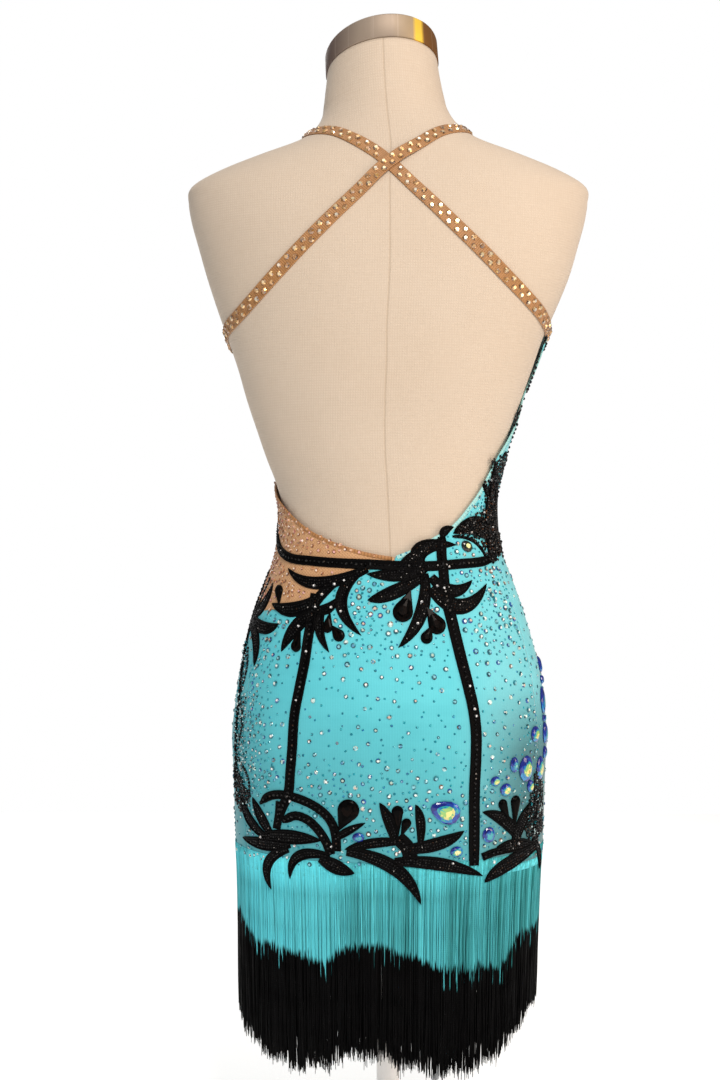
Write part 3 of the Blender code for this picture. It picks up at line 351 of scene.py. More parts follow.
# name, s, z, width, height, turn in degrees, look
STONES = [
    ("hem_pear", -54, 402, 31, 22, 22, "pale stone"),
    ("hem_blue", -101, 375, 14, 16, 0, "blue stone"),
    ("hem_yellow", -66, 360, 13, 11, 0, "pale stone"),
    ("hem_dark", 33, 376.5, 12, 9, 0, "blue stone"),
    ("hip_large", -150, 439, 21, 27, 0, "pale stone"),
    ("hip_small", -121.5, 420, 14, 13, 0, "pale stone"),
    ("hip_upper", -166, 473, 15, 16, 0, "pale stone"),
    ("hip_side", -179, 436, 16, 25, 0, "pale stone"),
    ("hip_edge", -193, 471, 12, 22, 0, "blue stone"),
    ("hip_top", -192, 505, 12, 28, 0, "blue stone"),
    ("waist", -82, 669.5, 14, 11, 38, "pale stone"),
]
SMALL_STONES = [
    ("hip_left", -132, 445, 10, 16, 0, "blue stone"),
    ("hip_point", -108.5, 430, 11, 10, 0, "pale stone"),
    ("hip_low", -158, 419.5, 10, 13, 0, "pale stone"),
    ("hip_crown", -205, 541, 11, 17, 0, "blue stone"),
    ("hip_drop", -198, 526, 7, 9, 0, "blue stone"),
    ("hip_bead", -191, 486.5, 6, 7, 0, "blue stone"),
    ("hip_slip", -192, 451, 8, 13, 0, "blue stone"),
]


FRINGE_TIPS = [(-2.0, 152), (-1.25, 165), (-1.0, 184), (-0.8, 182), (-0.62, 153), (-0.5, 138), (-0.35, 131),
               (-0.2, 130), (-0.1, 137), (0.02, 146), (0.15, 149), (0.25, 146), (0.35, 136), (0.5, 134),
               (0.66, 142), (0.85, 164), (1.0, 177), (1.25, 170), (1.6, 158), (2.0, 152)]


# ------------------------------------------------------------------ colours and settings
def linear(code):
    """An sRGB hex colour as linear red, green, blue and alpha."""
    parts = [int(code[i:i + 2], 16) / 255 for i in (1, 3, 5)]
    return (*(((c + 0.055) / 1.055) ** 2.4 if c > 0.04045 else c / 12.92 for c in parts), 1.0)


def tones(codes, *chances):
    """Colours to draw from, and the chance of each."""
    return [linear(code) for code in codes.split()], chances


def colour_of(name, description, code):
    return bpy.props.FloatVectorProperty(name=name, description=description, subtype="COLOR", size=3, min=0, max=1,
                                         default=linear(code)[:3])


def size_of(name, description, millimetres):
    return bpy.props.FloatProperty(name=name, description=description, default=millimetres * MM, min=0.0002,
                                   unit="LENGTH", subtype="DISTANCE", precision=4)


class DressClothSettings(bpy.types.PropertyGroup):
    """The stretch cloth, the nude mesh and the straps."""
    turquoise: colour_of("Turquoise", "Dye of the stretch cloth", "#62ccd9")
    turquoise_deep: colour_of("Turquoise in the folds", "The same dye where the knit closes up", "#4fb6c4")
    nude: colour_of("Nude mesh", "Colour of the net over the form", "#d8a97c")
    nude_deep: colour_of("Nude mesh holes", "Colour seen through the net's holes", "#bb8a5a")
    elastic: colour_of("Elastic", "Colour of the strap elastic", "#b88650")
    rib: size_of("Knit rib", "Distance between two drawn ribs of the knit", 2.6)
    net: size_of("Net cell", "Distance between two drawn threads of the net", 2.4)


class DressBeadSettings(bpy.types.PropertyGroup):
    """The cord, crystals and stones that are sewn on."""
    cord: colour_of("Cord", "Satin cord that edges each leaf and band", "#08070a")
    jet: colour_of("Jet crystal", "The black crystals", "#08080b")
    bronze: colour_of("Bronze crystal", "The brown ones among the black", "#3a2417")
    # Its near-white is partly a painted glint on the crystals' tables.
    clear: colour_of("Clear crystal", "The face of a clear crystal", "#e6f6f4")
    rim: colour_of("Stone rim", "The rim of a large cut stone", "#15257f")
    row_pitch: size_of("Row pitch", "Distance between crystals in a row", 3.0)


class DressFringeSettings(bpy.types.PropertyGroup):
    """The hand-dyed fringe."""
    top: colour_of("Fringe top", "Dye at the roots", "#66dcea")
    # The darker strands' colour: their own dye, and also painted shade where the strands are drawn dark round the
    # hem.
    shade: colour_of("Fringe shade", "Dye of the darker strands", "#2b7a7c")
    tips: colour_of("Fringe tips", "Dye at the tips", "#020203")
    strand: size_of("Strand", "Width of one strand at its root", 1.2)
    strands: bpy.props.IntProperty(name="Strands", description="Strands all the way round", default=4100, min=100)


class DressFormSettings(bpy.types.PropertyGroup):
    """The dress form and its stand."""
    linen: colour_of("Linen", "The form's cover", "#d5c7b6")
    linen_shade: colour_of("Linen shade", "The threads that lie lower", "#c2b09b")
    steel: colour_of("Steel", "The neck cap", "#a09284")
    thread: size_of("Thread", "Distance between two drawn threads of the linen", 2.6)


class DressStageSettings(bpy.types.PropertyGroup):
    """The floor, the lights and the camera."""
    floor: colour_of("Floor", "Paper under the stand", "#fbfbfa")
    height: bpy.props.FloatProperty(name="Camera height", description="Height of the camera", default=0.677,
                                    unit="LENGTH")
    air: bpy.props.FloatProperty(name="Air", description="How much of the white surround lights the dress",
                                 default=0.27, min=0.0, max=1.0)
    distance: bpy.props.FloatProperty(name="Camera distance", description="Distance behind the dress",
                                      default=1.6, unit="LENGTH")


SETTINGS = (("dress_cloth", DressClothSettings), ("dress_beads", DressBeadSettings),
            ("dress_fringe", DressFringeSettings), ("dress_form", DressFormSettings),
            ("dress_stage", DressStageSettings))


def rgba(value):
    return (*value, 1.0)


# ------------------------------------------------------------------ materials
def add(tree, kind, links=None, **settings):
    """Adds a node, sets what is named on it, and fills its sockets with values or other nodes' outputs."""
    made = tree.nodes.new(kind)
    for key, value in settings.items():
        setattr(made, key, value)
    for key, value in (links or {}).items():
        if isinstance(value, bpy.types.NodeSocket):
            tree.links.new(value, made.inputs[key])
        else:
            made.inputs[key].default_value = value
    return made


def material(name):
    """An empty material and its tree."""
    look = bpy.data.materials.get(name)
    if look is not None:
        bpy.data.materials.remove(look)
    look = bpy.data.materials.new(name)
    look.use_nodes = True
    look.node_tree.nodes.clear()
    return look, look.node_tree


def shaded(look, **sockets):
    """The material with its shader; the shader's sockets are named with _ for a space."""
    links = {key.replace("_", " "): value for key, value in sockets.items()}
    shader = add(look.node_tree, "ShaderNodeBsdfPrincipled", links)
    add(look.node_tree, "ShaderNodeOutputMaterial", {"Surface": shader.outputs[0]})
    return look


def stripes(tree, vector, across, period, twist=0.0):
    """Bands along a direction, with a real period in metres."""
    return add(tree, "ShaderNodeTexWave", {"Vector": vector, "Scale": 0.31416 / period, "Distortion": twist,
                                           "Detail": 1.0, "Detail Scale": 1.5},
               wave_type="BANDS", bands_direction=across, wave_profile="SIN").outputs["Fac"]


def mix(tree, share, low, high):
    return add(tree, "ShaderNodeMix", {0: share, 6: low, 7: high}, data_type="RGBA", clamp_factor=True).outputs[2]


def maths(tree, kind, a, b=0.0, c=0.0):
    return add(tree, "ShaderNodeMath", {0: a, 1: b, 2: c}, operation=kind).outputs[0]


def scaled(tree, value, by, plus):
    return maths(tree, "MULTIPLY_ADD", value, by, plus)


def product(tree, first, *others):
    for other in others:
        first = maths(tree, "MULTIPLY", first, other)
    return first


def at_object(tree):
    return add(tree, "ShaderNodeTexCoord").outputs["Object"]


def split(tree, vector):
    return add(tree, "ShaderNodeSeparateXYZ", {0: vector}).outputs


def shifted(tree, colour, value, saturation=1.0):
    return add(tree, "ShaderNodeHueSaturation",
               {"Color": colour, "Value": value, "Saturation": saturation}).outputs[0]


def spread(tree, value, low, high, to_low=0.0, to_high=1.0):
    return add(tree, "ShaderNodeMapRange", {"Value": value, "From Min": low, "From Max": high, "To Min": to_low,
                                            "To Max": to_high}).outputs[0]


def bump(tree, height, distance, strength=1.0):
    return add(tree, "ShaderNodeBump", {"Height": height, "Distance": distance, "Strength": strength}).outputs[0]


def laid(tree, stretch=(1.0, 1.0, 1.0), turn=0.0):
    """The place on the cloth in metres, round the body and up it, stretched, or turned by some degrees."""
    place_on = add(tree, "ShaderNodeUVMap", uv_map="laid").outputs[0]
    if stretch == (1.0, 1.0, 1.0) and not turn:
        return place_on
    return add(tree, "ShaderNodeMapping", {"Vector": place_on, "Rotation": (0.0, 0.0, math.radians(turn)),
                                           "Scale": stretch}).outputs[0]


def noise(tree, vector, scale, detail=3.0, rough=0.55):
    return add(tree, "ShaderNodeTexNoise", {"Vector": vector, "Scale": scale, "Detail": detail,
                                            "Roughness": rough}).outputs["Fac"]


def settings(name):
    return getattr(bpy.context.scene, name)


def turquoise_knit():
    """Nylon and elastane swim knit, drawn tight: fine upright ribs, a soft satin bloom, no gloss."""
    look, tree = material("Turquoise stretch knit")
    cloth = settings("dress_cloth")
    where = laid(tree)
    ribs = stripes(tree, where, "X", cloth.rib, 0.6)      # drawn three times coarser than the real rib
    rows = stripes(tree, where, "Y", cloth.rib * 1.3, 1.2)
    drift = noise(tree, where, 9.0, 4.0)
    pulls = noise(tree, laid(tree, (4.0, 42.0, 1.0)), 1.6, 3.0)
    tone = scaled(tree, pulls, 0.33, scaled(tree, drift, 0.6, product(tree, ribs, 0.07)))
    base = mix(tree, spread(tree, tone, 0.25, 0.8), rgba(cloth.turquoise_deep), rgba(cloth.turquoise))
    # Painted light and shade, which stays put when the light moves: darker toward the hem and brighter from above
    # the hips up, darker over the back of the right hip and along the wearer's left side, and duller toward the
    # wearer's right as a painted sheen.
    x, y, z = split(tree, at_object(tree))
    hem = spread(tree, z, 0.39, 0.53, 0.76, 1.2)
    hip = product(tree, spread(tree, x, -0.085, -0.14, 0.0, 0.6), spread(tree, z, 0.53, 0.46),
                  spread(tree, y, -0.05, 0.03))
    side = spread(tree, x, 0.115, 0.15, 1.0, 0.86)
    value = product(tree, hem, side, maths(tree, "SUBTRACT", 1.0, hip))
    base = shifted(tree, base, value, spread(tree, x, -0.06, -0.13, 1.0, 0.88))
    height = scaled(tree, ribs, 0.5, scaled(tree, rows, 0.3, product(tree, pulls, 2.0)))
    return shaded(look, Base_Color=base, Normal=bump(tree, height, 0.00012, 0.5),
                  Roughness=spread(tree, drift, 0.3, 0.7, 0.46, 0.58), Specular_IOR_Level=0.3, Sheen_Weight=0.25,
                  Sheen_Roughness=0.35)


def nude_net():
    """Nylon power mesh in a skin tone: threads on the bias with small holes, dull."""
    look, tree = material("Nude power mesh")
    cloth = settings("dress_cloth")
    turned_net = laid(tree, turn=45)
    threads = maths(tree, "MAXIMUM", *(stripes(tree, turned_net, way, cloth.net, 0.3) for way in "XY"))
    share = scaled(tree, threads, 0.75, scaled(tree, noise(tree, laid(tree), 14.0), 0.9, -0.35))
    return shaded(look, Base_Color=mix(tree, share, rgba(cloth.nude_deep), rgba(cloth.nude)),
                  Normal=bump(tree, threads, 0.0004, 0.7), Roughness=0.62, Sheen_Weight=0.2)


def ribbed(name, period, twist, grain, shares, deep, pale, sheen):
    """A narrow sewn band: ribs or stitches across it over a drifting tone."""
    look, tree = material(name)
    where = laid(tree)
    ribs = stripes(tree, where, "X", period, twist)
    share = scaled(tree, ribs, shares[0], product(tree, noise(tree, where, grain), shares[1]))
    return shaded(look, Base_Color=mix(tree, share, deep, pale), Normal=bump(tree, ribs, 0.0003, 0.6),
                  Roughness=0.5, Sheen_Weight=sheen)


def folded_edge(name, code, deep):
    """The cloth's turned and stitched edge: the same knit doubled, in the two tones given for it, with a row of
    stitches.
    """
    return ribbed(name, 0.0035, 0.0, 30.0, (0.5, 0.6), linear(deep), linear(code), 0.2)


def strap_elastic():
    """Covered elastic, woven and dyed nude: ribs across the strap and a plain selvedge."""
    return ribbed("Nude strap elastic", 0.0022, 0.2, 60.0, (0.45, 0.7), linear("#8a5a2b"),
                  rgba(settings("dress_cloth").elastic), 0.3)


def satin_cord():
    """Black rayon satin cord and braid: a twisted lay, near black and hardly glossy."""
    look, tree = material("Black satin cord")
    twist = stripes(tree, laid(tree, turn=52), "X", 0.0019, 0.4)
    drift = noise(tree, laid(tree), 45.0)
    share = scaled(tree, twist, 0.6, scaled(tree, drift, 0.8, -0.3))
    return shaded(look, Base_Color=mix(tree, share, linear("#010101"), linear("#070608")),
                  Normal=bump(tree, twist, 0.0003, 0.6), Roughness=spread(tree, drift, 0.3, 0.7, 0.42, 0.6),
                  Specular_IOR_Level=0.06)


def cut_glass(name, rough, metal, coat, shine=0.5):
    """Cut glass with a foiled back: each facet takes its own colour, partly the glass's own and partly painted
    light, shade and glints in place of refraction, and the coat gives the hard glint.
    """
    look, tree = material(name)
    colour = add(tree, "ShaderNodeAttribute", attribute_name="facet").outputs["Color"]
    grain = noise(tree, at_object(tree), 420.0, 2.0)
    if metal > 0.1:
        colour = mix(tree, spread(tree, grain, 0.35, 0.65, 0.0, 0.25), colour, linear("#ffffff"))
    return shaded(look, Base_Color=colour, Roughness=spread(tree, grain, 0.3, 0.7, rough, rough + 0.08),
                  Metallic=metal, Specular_IOR_Level=shine, Coat_Weight=coat, Coat_Roughness=0.05)


def yarn():
    """Rayon chainette, dip-dyed by hand: turquoise at the roots, black at the tips, each strand a shade apart. The
    heads are painted lighter, and the strands' paleness round the hem is partly painted light and shade.
    """
    look, tree = material("Dip-dyed chainette")
    fringe = settings("dress_fringe")
    # dye is the height where a strand's black begins, and shade how pale the strand is, partly by its dye and
    # partly by painted light and shade round the hem
    line, shade = (add(tree, "ShaderNodeAttribute", attribute_name=key).outputs["Fac"] for key in ("dye", "shade"))
    where = at_object(tree)
    up = split(tree, where)["Z"]
    dye = spread(tree, maths(tree, "SUBTRACT", up, line), -0.002, 0.003, 1.0, 0.0)
    top = mix(tree, shade, rgba(fringe.shade), rgba(fringe.top))
    # Painted light: the strands' heads are made paler than their dye.
    top = shifted(tree, top, spread(tree, up, 0.312, 0.345, 0.94, 1.3))      # the heads are painted paler
    black = mix(tree, shade, rgba(fringe.tips), linear("#040405"))
    return shaded(look, Base_Color=mix(tree, dye, top, black), Roughness=0.5, Specular_IOR_Level=0.06,
                  Normal=bump(tree, stripes(tree, where, "Z", 0.0022, 0.6), 0.0003, 0.5))


def form_linen():
    """Undyed linen glued over a moulded form: a plain weave with slubs, and one sewn seam down the middle."""
    look, tree = material("Form linen")
    form = settings("dress_form")
    where = laid(tree)
    # The real thread is three times finer.
    weave = product(tree, *(stripes(tree, where, way, form.thread, 0.5) for way in "XY"))
    slubs = maths(tree, "ADD", *(noise(tree, laid(tree, pull), 60.0)
                                 for pull in ((1.0, 9.0, 1.0), (9.0, 1.0, 1.0))))
    height = scaled(tree, weave, 0.9, slubs)
    share = scaled(tree, height, 0.4, scaled(tree, noise(tree, where, 5.0), 0.6, -0.15))
    base = mix(tree, share, rgba(form.linen_shade), rgba(form.linen))
    seam = spread(tree, maths(tree, "ABSOLUTE", split(tree, where)["X"]), 0.0004, 0.0016, 1.0, 0.0)
    base = mix(tree, product(tree, seam, 0.4), base, linear("#ac9880"))
    return shaded(look, Base_Color=base, Normal=bump(tree, scaled(tree, seam, -1.6, height), 0.00028, 0.5),
                  Roughness=0.85, Sheen_Weight=0.15)


# Painted reflections on the cap: bands of tone and a yellow glint, each given by the angles where it begins and is
# full, and its colour. They stand for what a room would show in real steel, and no light here makes them. An empty
# list leaves the steel plain.
CAP_BANDS = [(0.43, 1.08, "#776760"), (-0.17, -0.52, "#b09c80"), (-0.55, -0.62, "#f6d052"),
             (-0.74, -0.81, "#7d5730")]


def brushed_steel():
    """The neck cap's steel. CAP_BANDS are painted reflections, set by angle: no light here makes them, and they
    stay put.
    """
    look, tree = material("Brushed steel")
    rim = place(np.linspace(-2, 2, 81), np.full(81, CAP_BOTTOM_Z + 10.0), np.zeros(81)) * MM
    middle, half = (rim.max(0) + rim.min(0)) / 2, np.ptp(rim, 0) / 2
    on_cap = add(tree, "ShaderNodeMapping",
                 {"Vector": at_object(tree), "Scale": (1 / half[0], 1 / half[1], 0.0),
                  "Location": (-middle[0] / half[0], -middle[1] / half[1], 0.0)}).outputs[0]
    from_middle = add(tree, "ShaderNodeVectorMath", {0: on_cap}, operation="LENGTH").outputs["Value"]
    x, y, _ = split(tree, on_cap)
    turn = maths(tree, "ARCTAN2", x, y)
    streaks = noise(tree, add(tree, "ShaderNodeCombineXYZ", {"X": turn}).outputs[0], 9.0, 4.0)
    steel = base = rgba(settings("dress_form").steel)
    for start, full, code in CAP_BANDS:
        base = mix(tree, spread(tree, turn, start, full), base, linear(code))
    # Pale streaks by angle round the cap: the brushing's grain, drawn paler as a painted sheen.
    base = mix(tree, spread(tree, streaks, 0.58, 0.7, 0.0, 0.25), base, linear("#e9ddd0"))
    base = mix(tree, spread(tree, from_middle, 0.86, 0.94), steel, base)       # the flat top is plain
    return shaded(look, Base_Color=base, Metallic=0.45, Specular_IOR_Level=0.2,
                  Roughness=spread(tree, streaks, 0.3, 0.7, 0.5, 0.6))


def pale_steel():
    """The stand's near-white finish, hardly metallic, which shows little against a white surround."""
    look, tree = material("Pale satin steel")
    grain = noise(tree, at_object(tree), 300.0, 2.0)
    return shaded(look, Base_Color=mix(tree, grain, linear("#f6f5f3"), linear("#ffffff")), Metallic=0.1,
                  Roughness=spread(tree, grain, 0.3, 0.7, 0.5, 0.6))


# ------------------------------------------------------------------ places on the garment
def around(q, z):
    """Millimetres round the body from the centre back, also past the side line and past the centre front."""
    q, z = np.asarray(q, float), np.asarray(z, float)
    b, f, far = back_length(z), front_length(z), np.abs(q)
    s = np.where(far <= 1, far * b, np.where(far <= 3, b + (far - 1) * f, b + 2 * f + (far - 3) * b))
    return np.sign(q) * s


def laid_at(q, z):
    """Where (q, z) lies on the flat cloth, in metres."""
    return np.stack([around(q, z), np.broadcast_to(z, np.shape(q))], axis=-1) * MM


def axes(q, z):
    """At each place: the way round the body, the way up it and the way out of it."""
    out = place(q, z, np.ones(np.shape(q))) - place(q, z, np.zeros(np.shape(q)))
    up = upward(q, z)
    up -= out * np.sum(up * out, axis=-1, keepdims=True)
    up /= np.linalg.norm(up, axis=-1, keepdims=True)
    return np.cross(up, out), up, out


def ground(names):
    """The named pieces as one surface, in mm."""
    points, faces = [], []
    for name in names:
        mesh = bpy.data.objects[name].data
        start = len(points)
        faces += [[i + start for i in f.vertices] for f in mesh.polygons]
        points += [v.co / MM for v in mesh.vertices]
    return BVHTree.FromPolygons(points, faces)


def level(tree, q, z, bare=OUTSIDE):
    """How far the surface stands above the skin at each place; bare where nothing lies there."""
    q, z = np.broadcast_arrays(np.asarray(q, float), np.asarray(z, float))
    base = place(q, z, np.zeros(q.shape)).reshape(-1, 3)
    out = place(q, z, np.ones(q.shape)).reshape(-1, 3) - base
    found = []
    for p, n in zip(base, out):
        n = Vector(n)
        hit = tree.ray_cast(Vector(p) + n * 20.0, -n, 19.0)
        found.append(20.0 - hit[3] if hit[0] is not None else bare)
    return np.array(found).reshape(q.shape)


def height_at(tree, s, z, bare=OUTSIDE):
    return level(tree, to_q(s, z), z, bare)


# ------------------------------------------------------------------ making meshes
def quads(at):
    return np.stack([at[:-1, :-1], at[1:, :-1], at[1:, 1:], at[:-1, 1:]], axis=-1).reshape(-1, 4)


def unit(rows):
    return rows / np.linalg.norm(rows, axis=-1, keepdims=True)


def crosswise(line):
    """The way across a flat line at each of its points."""
    along = np.gradient(line, axis=0)
    along /= np.maximum(np.linalg.norm(along, axis=1, keepdims=True), TINY)
    return np.stack([-along[:, 1], along[:, 0]], 1)


def follow(spots, run, rows):
    """The rows' values at spots along the run."""
    return np.stack([np.interp(spots, run, column) for column in rows.T], 1)


def only(keep, *rows):
    return [row[keep] for row in rows]


def volume(points, groups):
    total = 0.0
    for g in groups:
        for k in range(1, g.shape[1] - 1):
            total += np.einsum("ij,ij->", points[g[:, 0]], np.cross(points[g[:, k]], points[g[:, k + 1]]))
    return total


class Gather:
    """Collects closed parts that become one mesh: points, faces, the lay of the cloth and facet colours."""

    def __init__(self):
        self.points, self.laid, self.values, self.count, self.faces, self.facets = [], [], {}, 0, {}, {}

    def take(self, points, groups, flat=None, facets=None, **values):
        points = np.asarray(points, float)
        groups = [np.asarray(g, int) for g in groups]
        turned = volume(points, groups) < 0
        for k, g in enumerate(groups):
            size = g.shape[1]
            self.faces.setdefault(size, []).append((g[:, ::-1] if turned else g) + self.count)
            if facets is not None:
                self.facets.setdefault(size, []).append(facets[k])
        self.points.append(points)
        if flat is not None:
            self.laid.append(flat)
        for key, value in values.items():
            self.values.setdefault(key, []).append(value)
        self.count += len(points)

    def tube(self, points, along, over):
        """A closed part from rows of rings, and its lay: how far along it and over it each place is."""
        n, m = points.shape[:2]
        at = np.arange(n * m).reshape(n, m)
        at = np.concatenate([at, at[:, :1]], axis=1)
        lay = np.stack(np.broadcast_arrays(along[:, None], over[None]), axis=-1).reshape(-1, 2) * MM
        self.take(points.reshape(-1, 3), [quads(at), at[:1, :-1][:, ::-1], at[-1:, :-1]], lay)

    def make(self, name, look, slot, stands_for=(), smooth=True):
        renew(name)
        sizes = sorted(self.faces)
        groups = [np.concatenate(self.faces[k]) for k in sizes]
        mesh = bpy.data.meshes.new(name)
        mesh.from_pydata((np.concatenate(self.points) * MM).tolist(), [], [f for g in groups for f in g.tolist()])
        if self.laid:
            flat = np.concatenate(self.laid)
            corners = []
            for g in groups:
                c = flat[g]
                wrap = np.ptp(c[:, :, 0], axis=1) > 0.35
                girth = 2 * (back_length(c[..., 1] / MM) + front_length(c[..., 1] / MM)) * MM
                c[..., 0] = np.where(wrap[:, None] & (c[..., 0] < 0), c[..., 0] + girth, c[..., 0])
                corners.append(c.reshape(-1, 2))
            mesh.uv_layers.new(name="laid").data.foreach_set("uv", np.concatenate(corners).ravel())
        if self.facets:
            colours = np.concatenate([np.concatenate(self.facets[k]) for k in sizes])
            mesh.attributes.new("facet", "FLOAT_COLOR", "FACE").data.foreach_set("color", colours.ravel())
        for key, value in self.values.items():
            mesh.attributes.new(key, "FLOAT", "POINT").data.foreach_set("value", np.concatenate(value))
        mesh.polygons.foreach_set("use_smooth", np.full(len(mesh.polygons), smooth))
        mesh.update()
        mesh.materials.append(look)
        piece = bpy.data.objects.new(name, mesh)
        bpy.context.scene.collection.objects.link(piece)
        return settled(piece, stands_for)


def settled(piece, stands_for=()):
    """The piece rides on the dress and stands for its nodes."""
    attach(piece, "root")
    if stands_for:
        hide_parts(*stands_for)
    return piece


def renew(*names):
    """Removes pieces of these names, so that an operator can be run again."""
    for name in names:
        old = bpy.data.objects.get(name)
        if old is not None:
            bpy.data.objects.remove(old, do_unlink=True)


def deselect():
    for piece in bpy.context.view_layer.objects:
        piece.select_set(False)


def shell(gather, q, z, inner, outer, wrap=False):
    """A closed cloth shell over a grid of places, given as columns of rows."""
    n, m = q.shape
    points = np.concatenate([place(q, z, np.broadcast_to(o, q.shape)).reshape(-1, 3) for o in (outer, inner)])
    at = np.arange(n * m).reshape(n, m)
    if wrap:
        at = np.concatenate([at, at[:1]])
    top = quads(at)
    groups = [top, top[:, ::-1] + n * m]
    edges = [(at[1:, 0], at[:-1, 0]), (at[:-1, -1], at[1:, -1])]
    if not wrap:
        edges += [(at[-1, 1:], at[-1, :-1]), (at[0, :-1], at[0, 1:])]
    for a, b in edges:
        groups.append(np.stack([a, b, b + n * m, a + n * m], axis=-1))
    flat = laid_at(q, z).reshape(-1, 2)
    gather.take(points, groups, np.concatenate([flat, flat]))


def sweep(gather, centre, section_of, tree, lift=0.0):
    """A part laid along a line of (s, z) places: section_of holds, for each place, its closed section as
    (across, height) in mm."""
    centre, section_of = np.asarray(centre, float), np.asarray(section_of, float)
    across = crosswise(centre)
    n, m = section_of.shape[:2]
    flat = centre[:, None] + across[:, None] * section_of[..., :1]
    s, z = flat[..., 0], flat[..., 1]
    wide = np.abs(section_of[..., 0]).max(axis=1)
    sides = [centre + across * (wide * k)[:, None] for k in (-0.9, 0, 0.9)]
    base = np.max([height_at(tree, p[:, 0], p[:, 1]) for p in sides], axis=0)
    base = np.convolve(np.pad(base, 2, mode="edge"), np.ones(5) / 5, "valid") if n > 5 else base
    points = place(to_q(s, z), z, base[:, None] + section_of[..., 1] + lift)
    gather.tube(points, runs(centre), runs(section_of[len(centre) // 2]))
    return base


def even(points, step):
    """A smooth line through points, walked in even steps."""
    p = np.asarray(points, float)
    run = np.concatenate([[0], np.cumsum(np.hypot(*np.diff(p, axis=0).T))])
    n = max(3, int(round(run[-1] / step)) + 1)
    at = np.linspace(0, run[-1], n)
    return np.stack([curve_through(run, p[:, 0])(at), curve_through(run, p[:, 1])(at)], 1), at / run[-1]


# ------------------------------------------------------------------ beadwork sections
def corded(half, cord=2.2, rise=1.9, floor=0.8, crown=0.25):
    """Sections with a cord along both edges and a sunk floor between them, for a line of half widths."""
    half = np.asarray(half, float)[:, None]
    scale = np.clip(half / (cord * 1.15), 0.05, 1.0)
    steps = np.array([0.0, 0.12, 0.38, 0.7, 0.92, 1.12]) * cord
    heights = np.array([0.05, 0.62, 0.95, 0.92, 0.62, 0.42]) * rise
    heights[-1] = floor
    x = half - steps[None] * scale
    h = heights[None] * (0.35 + 0.65 * scale)
    top = np.concatenate([np.stack([x, h], -1), np.stack([0 * half, floor * (0.35 + 0.65 * scale) + crown], -1),
                          np.stack([-x, h], -1)[:, ::-1]], axis=1)
    under = np.stack([np.concatenate([-half * 0.5, 0 * half, half * 0.5], 1), np.full((len(half), 3), 0.05)], -1)
    return np.concatenate([top, under], axis=1)


def leaf_line(root, via, tip, width, heel=0.6, full=0.45, steps=20):
    """A leaf's middle line and its half widths."""
    t = np.linspace(0, 1, steps + 1)[:, None]
    a, b, v = (np.array(p, float)[None] for p in (root, tip, via))
    m = 2 * v - (a + b) / 2
    line = (1 - t) ** 2 * a + 2 * t * (1 - t) * m + t * t * b
    t = t[:, 0]
    w = np.where(t < full, heel + (1 - heel) * np.sin(math.pi / 2 * t / full),
                 np.cos(math.pi / 2 * np.clip((t - full) / (1 - full), 0, 1)) ** 0.7)
    return line, np.maximum(w * width / 2, 0.12)


def drop_line(point, round_end, width, steps=20):
    """A teardrop's middle line, from its point to the far side of its round end, and its half widths."""
    a, b = np.array(point, float), np.array(round_end, float)
    length, r = np.linalg.norm(b - a), width / 2
    x = (length + r) * np.sin(np.linspace(0, math.pi / 2, steps + 1)) ** 1.2
    tangent = length - 0.42 * r
    half = np.where(x < tangent, x / tangent * 0.907 * r, np.sqrt(np.maximum(r * r - (x - length) ** 2, 0)))
    return a + (b - a) / length * x[:, None], np.maximum(half, 0.15)


def drop_outline(point, round_end, width, sides=14):
    """A teardrop's outline about the middle of its round end."""
    a, b = np.array(point, float), np.array(round_end, float)
    length = np.linalg.norm(b - a)
    u = (b - a) / length
    v = np.array([-u[1], u[0]])
    turn = np.radians(np.linspace(-115, 115, sides - 1))
    rim = width / 2 * (np.cos(turn)[:, None] * u + np.sin(turn)[:, None] * v)
    return np.concatenate([[a - b], rim])


# ------------------------------------------------------------------ crystals and stones
def crystal_form(sides, table, high, girdle=0.0):
    """One flat-backed crystal, cut with a table and a crown: a primitive, shaped and read as arrays."""
    deselect()
    bpy.ops.mesh.primitive_cylinder_add(vertices=sides, radius=1.0, depth=high, location=(0, 0, high / 2))
    form = bpy.context.object
    bpy.ops.object.mode_set(mode="EDIT")
    bpy.ops.mesh.select_all(action="DESELECT")
    bm = bmesh.from_edit_mesh(form.data)
    bm.select_mode = {"FACE"}
    for f in bm.faces:
        f.select_set(f.normal.z > 0.9)
    bm.select_flush_mode()
    bmesh.update_edit_mesh(form.data)
    if girdle:
        bpy.ops.transform.translate(value=(0, 0, girdle - high))
        bpy.ops.mesh.extrude_region_move(TRANSFORM_OT_translate={"value": (0, 0, high - girdle)})
    bpy.ops.transform.resize(value=(table, table, 1.0))
    bpy.ops.object.mode_set(mode="OBJECT")
    bpy.ops.object.transform_apply(location=True, rotation=False, scale=False)
    points = np.array([v.co[:] for v in form.data.vertices])
    faces = [list(f.vertices) for f in form.data.polygons]
    normals = [f.normal.z for f in form.data.polygons]
    bpy.data.objects.remove(form, do_unlink=True)
    groups, kinds = [], []
    for size in sorted({len(f) for f in faces}):
        which = [k for k, f in enumerate(faces) if len(f) == size]
        groups.append(np.array([faces[k] for k in which]))
        kinds.append(np.array([1 if normals[k] > 0.9 else 0 for k in which]))
    return points, groups, kinds


def copies(form, centre, u, out, size):
    """A crystal's points set up at each place, facing out and turned to u, and the faces of all of them."""
    points, groups, _ = form
    v = np.cross(out, u)
    r = np.asarray(size, float)[:, None, None] / 2
    made = centre[:, None] + r * (u[:, None] * points[None, :, :1] + v[:, None] * points[None, :, 1:2]
                                  + out[:, None] * points[None, :, 2:])
    shift = (np.arange(len(centre)) * len(points))[:, None, None]
    return made.reshape(-1, 3), [(g[None] + shift).reshape(-1, g.shape[1]) for g in groups]


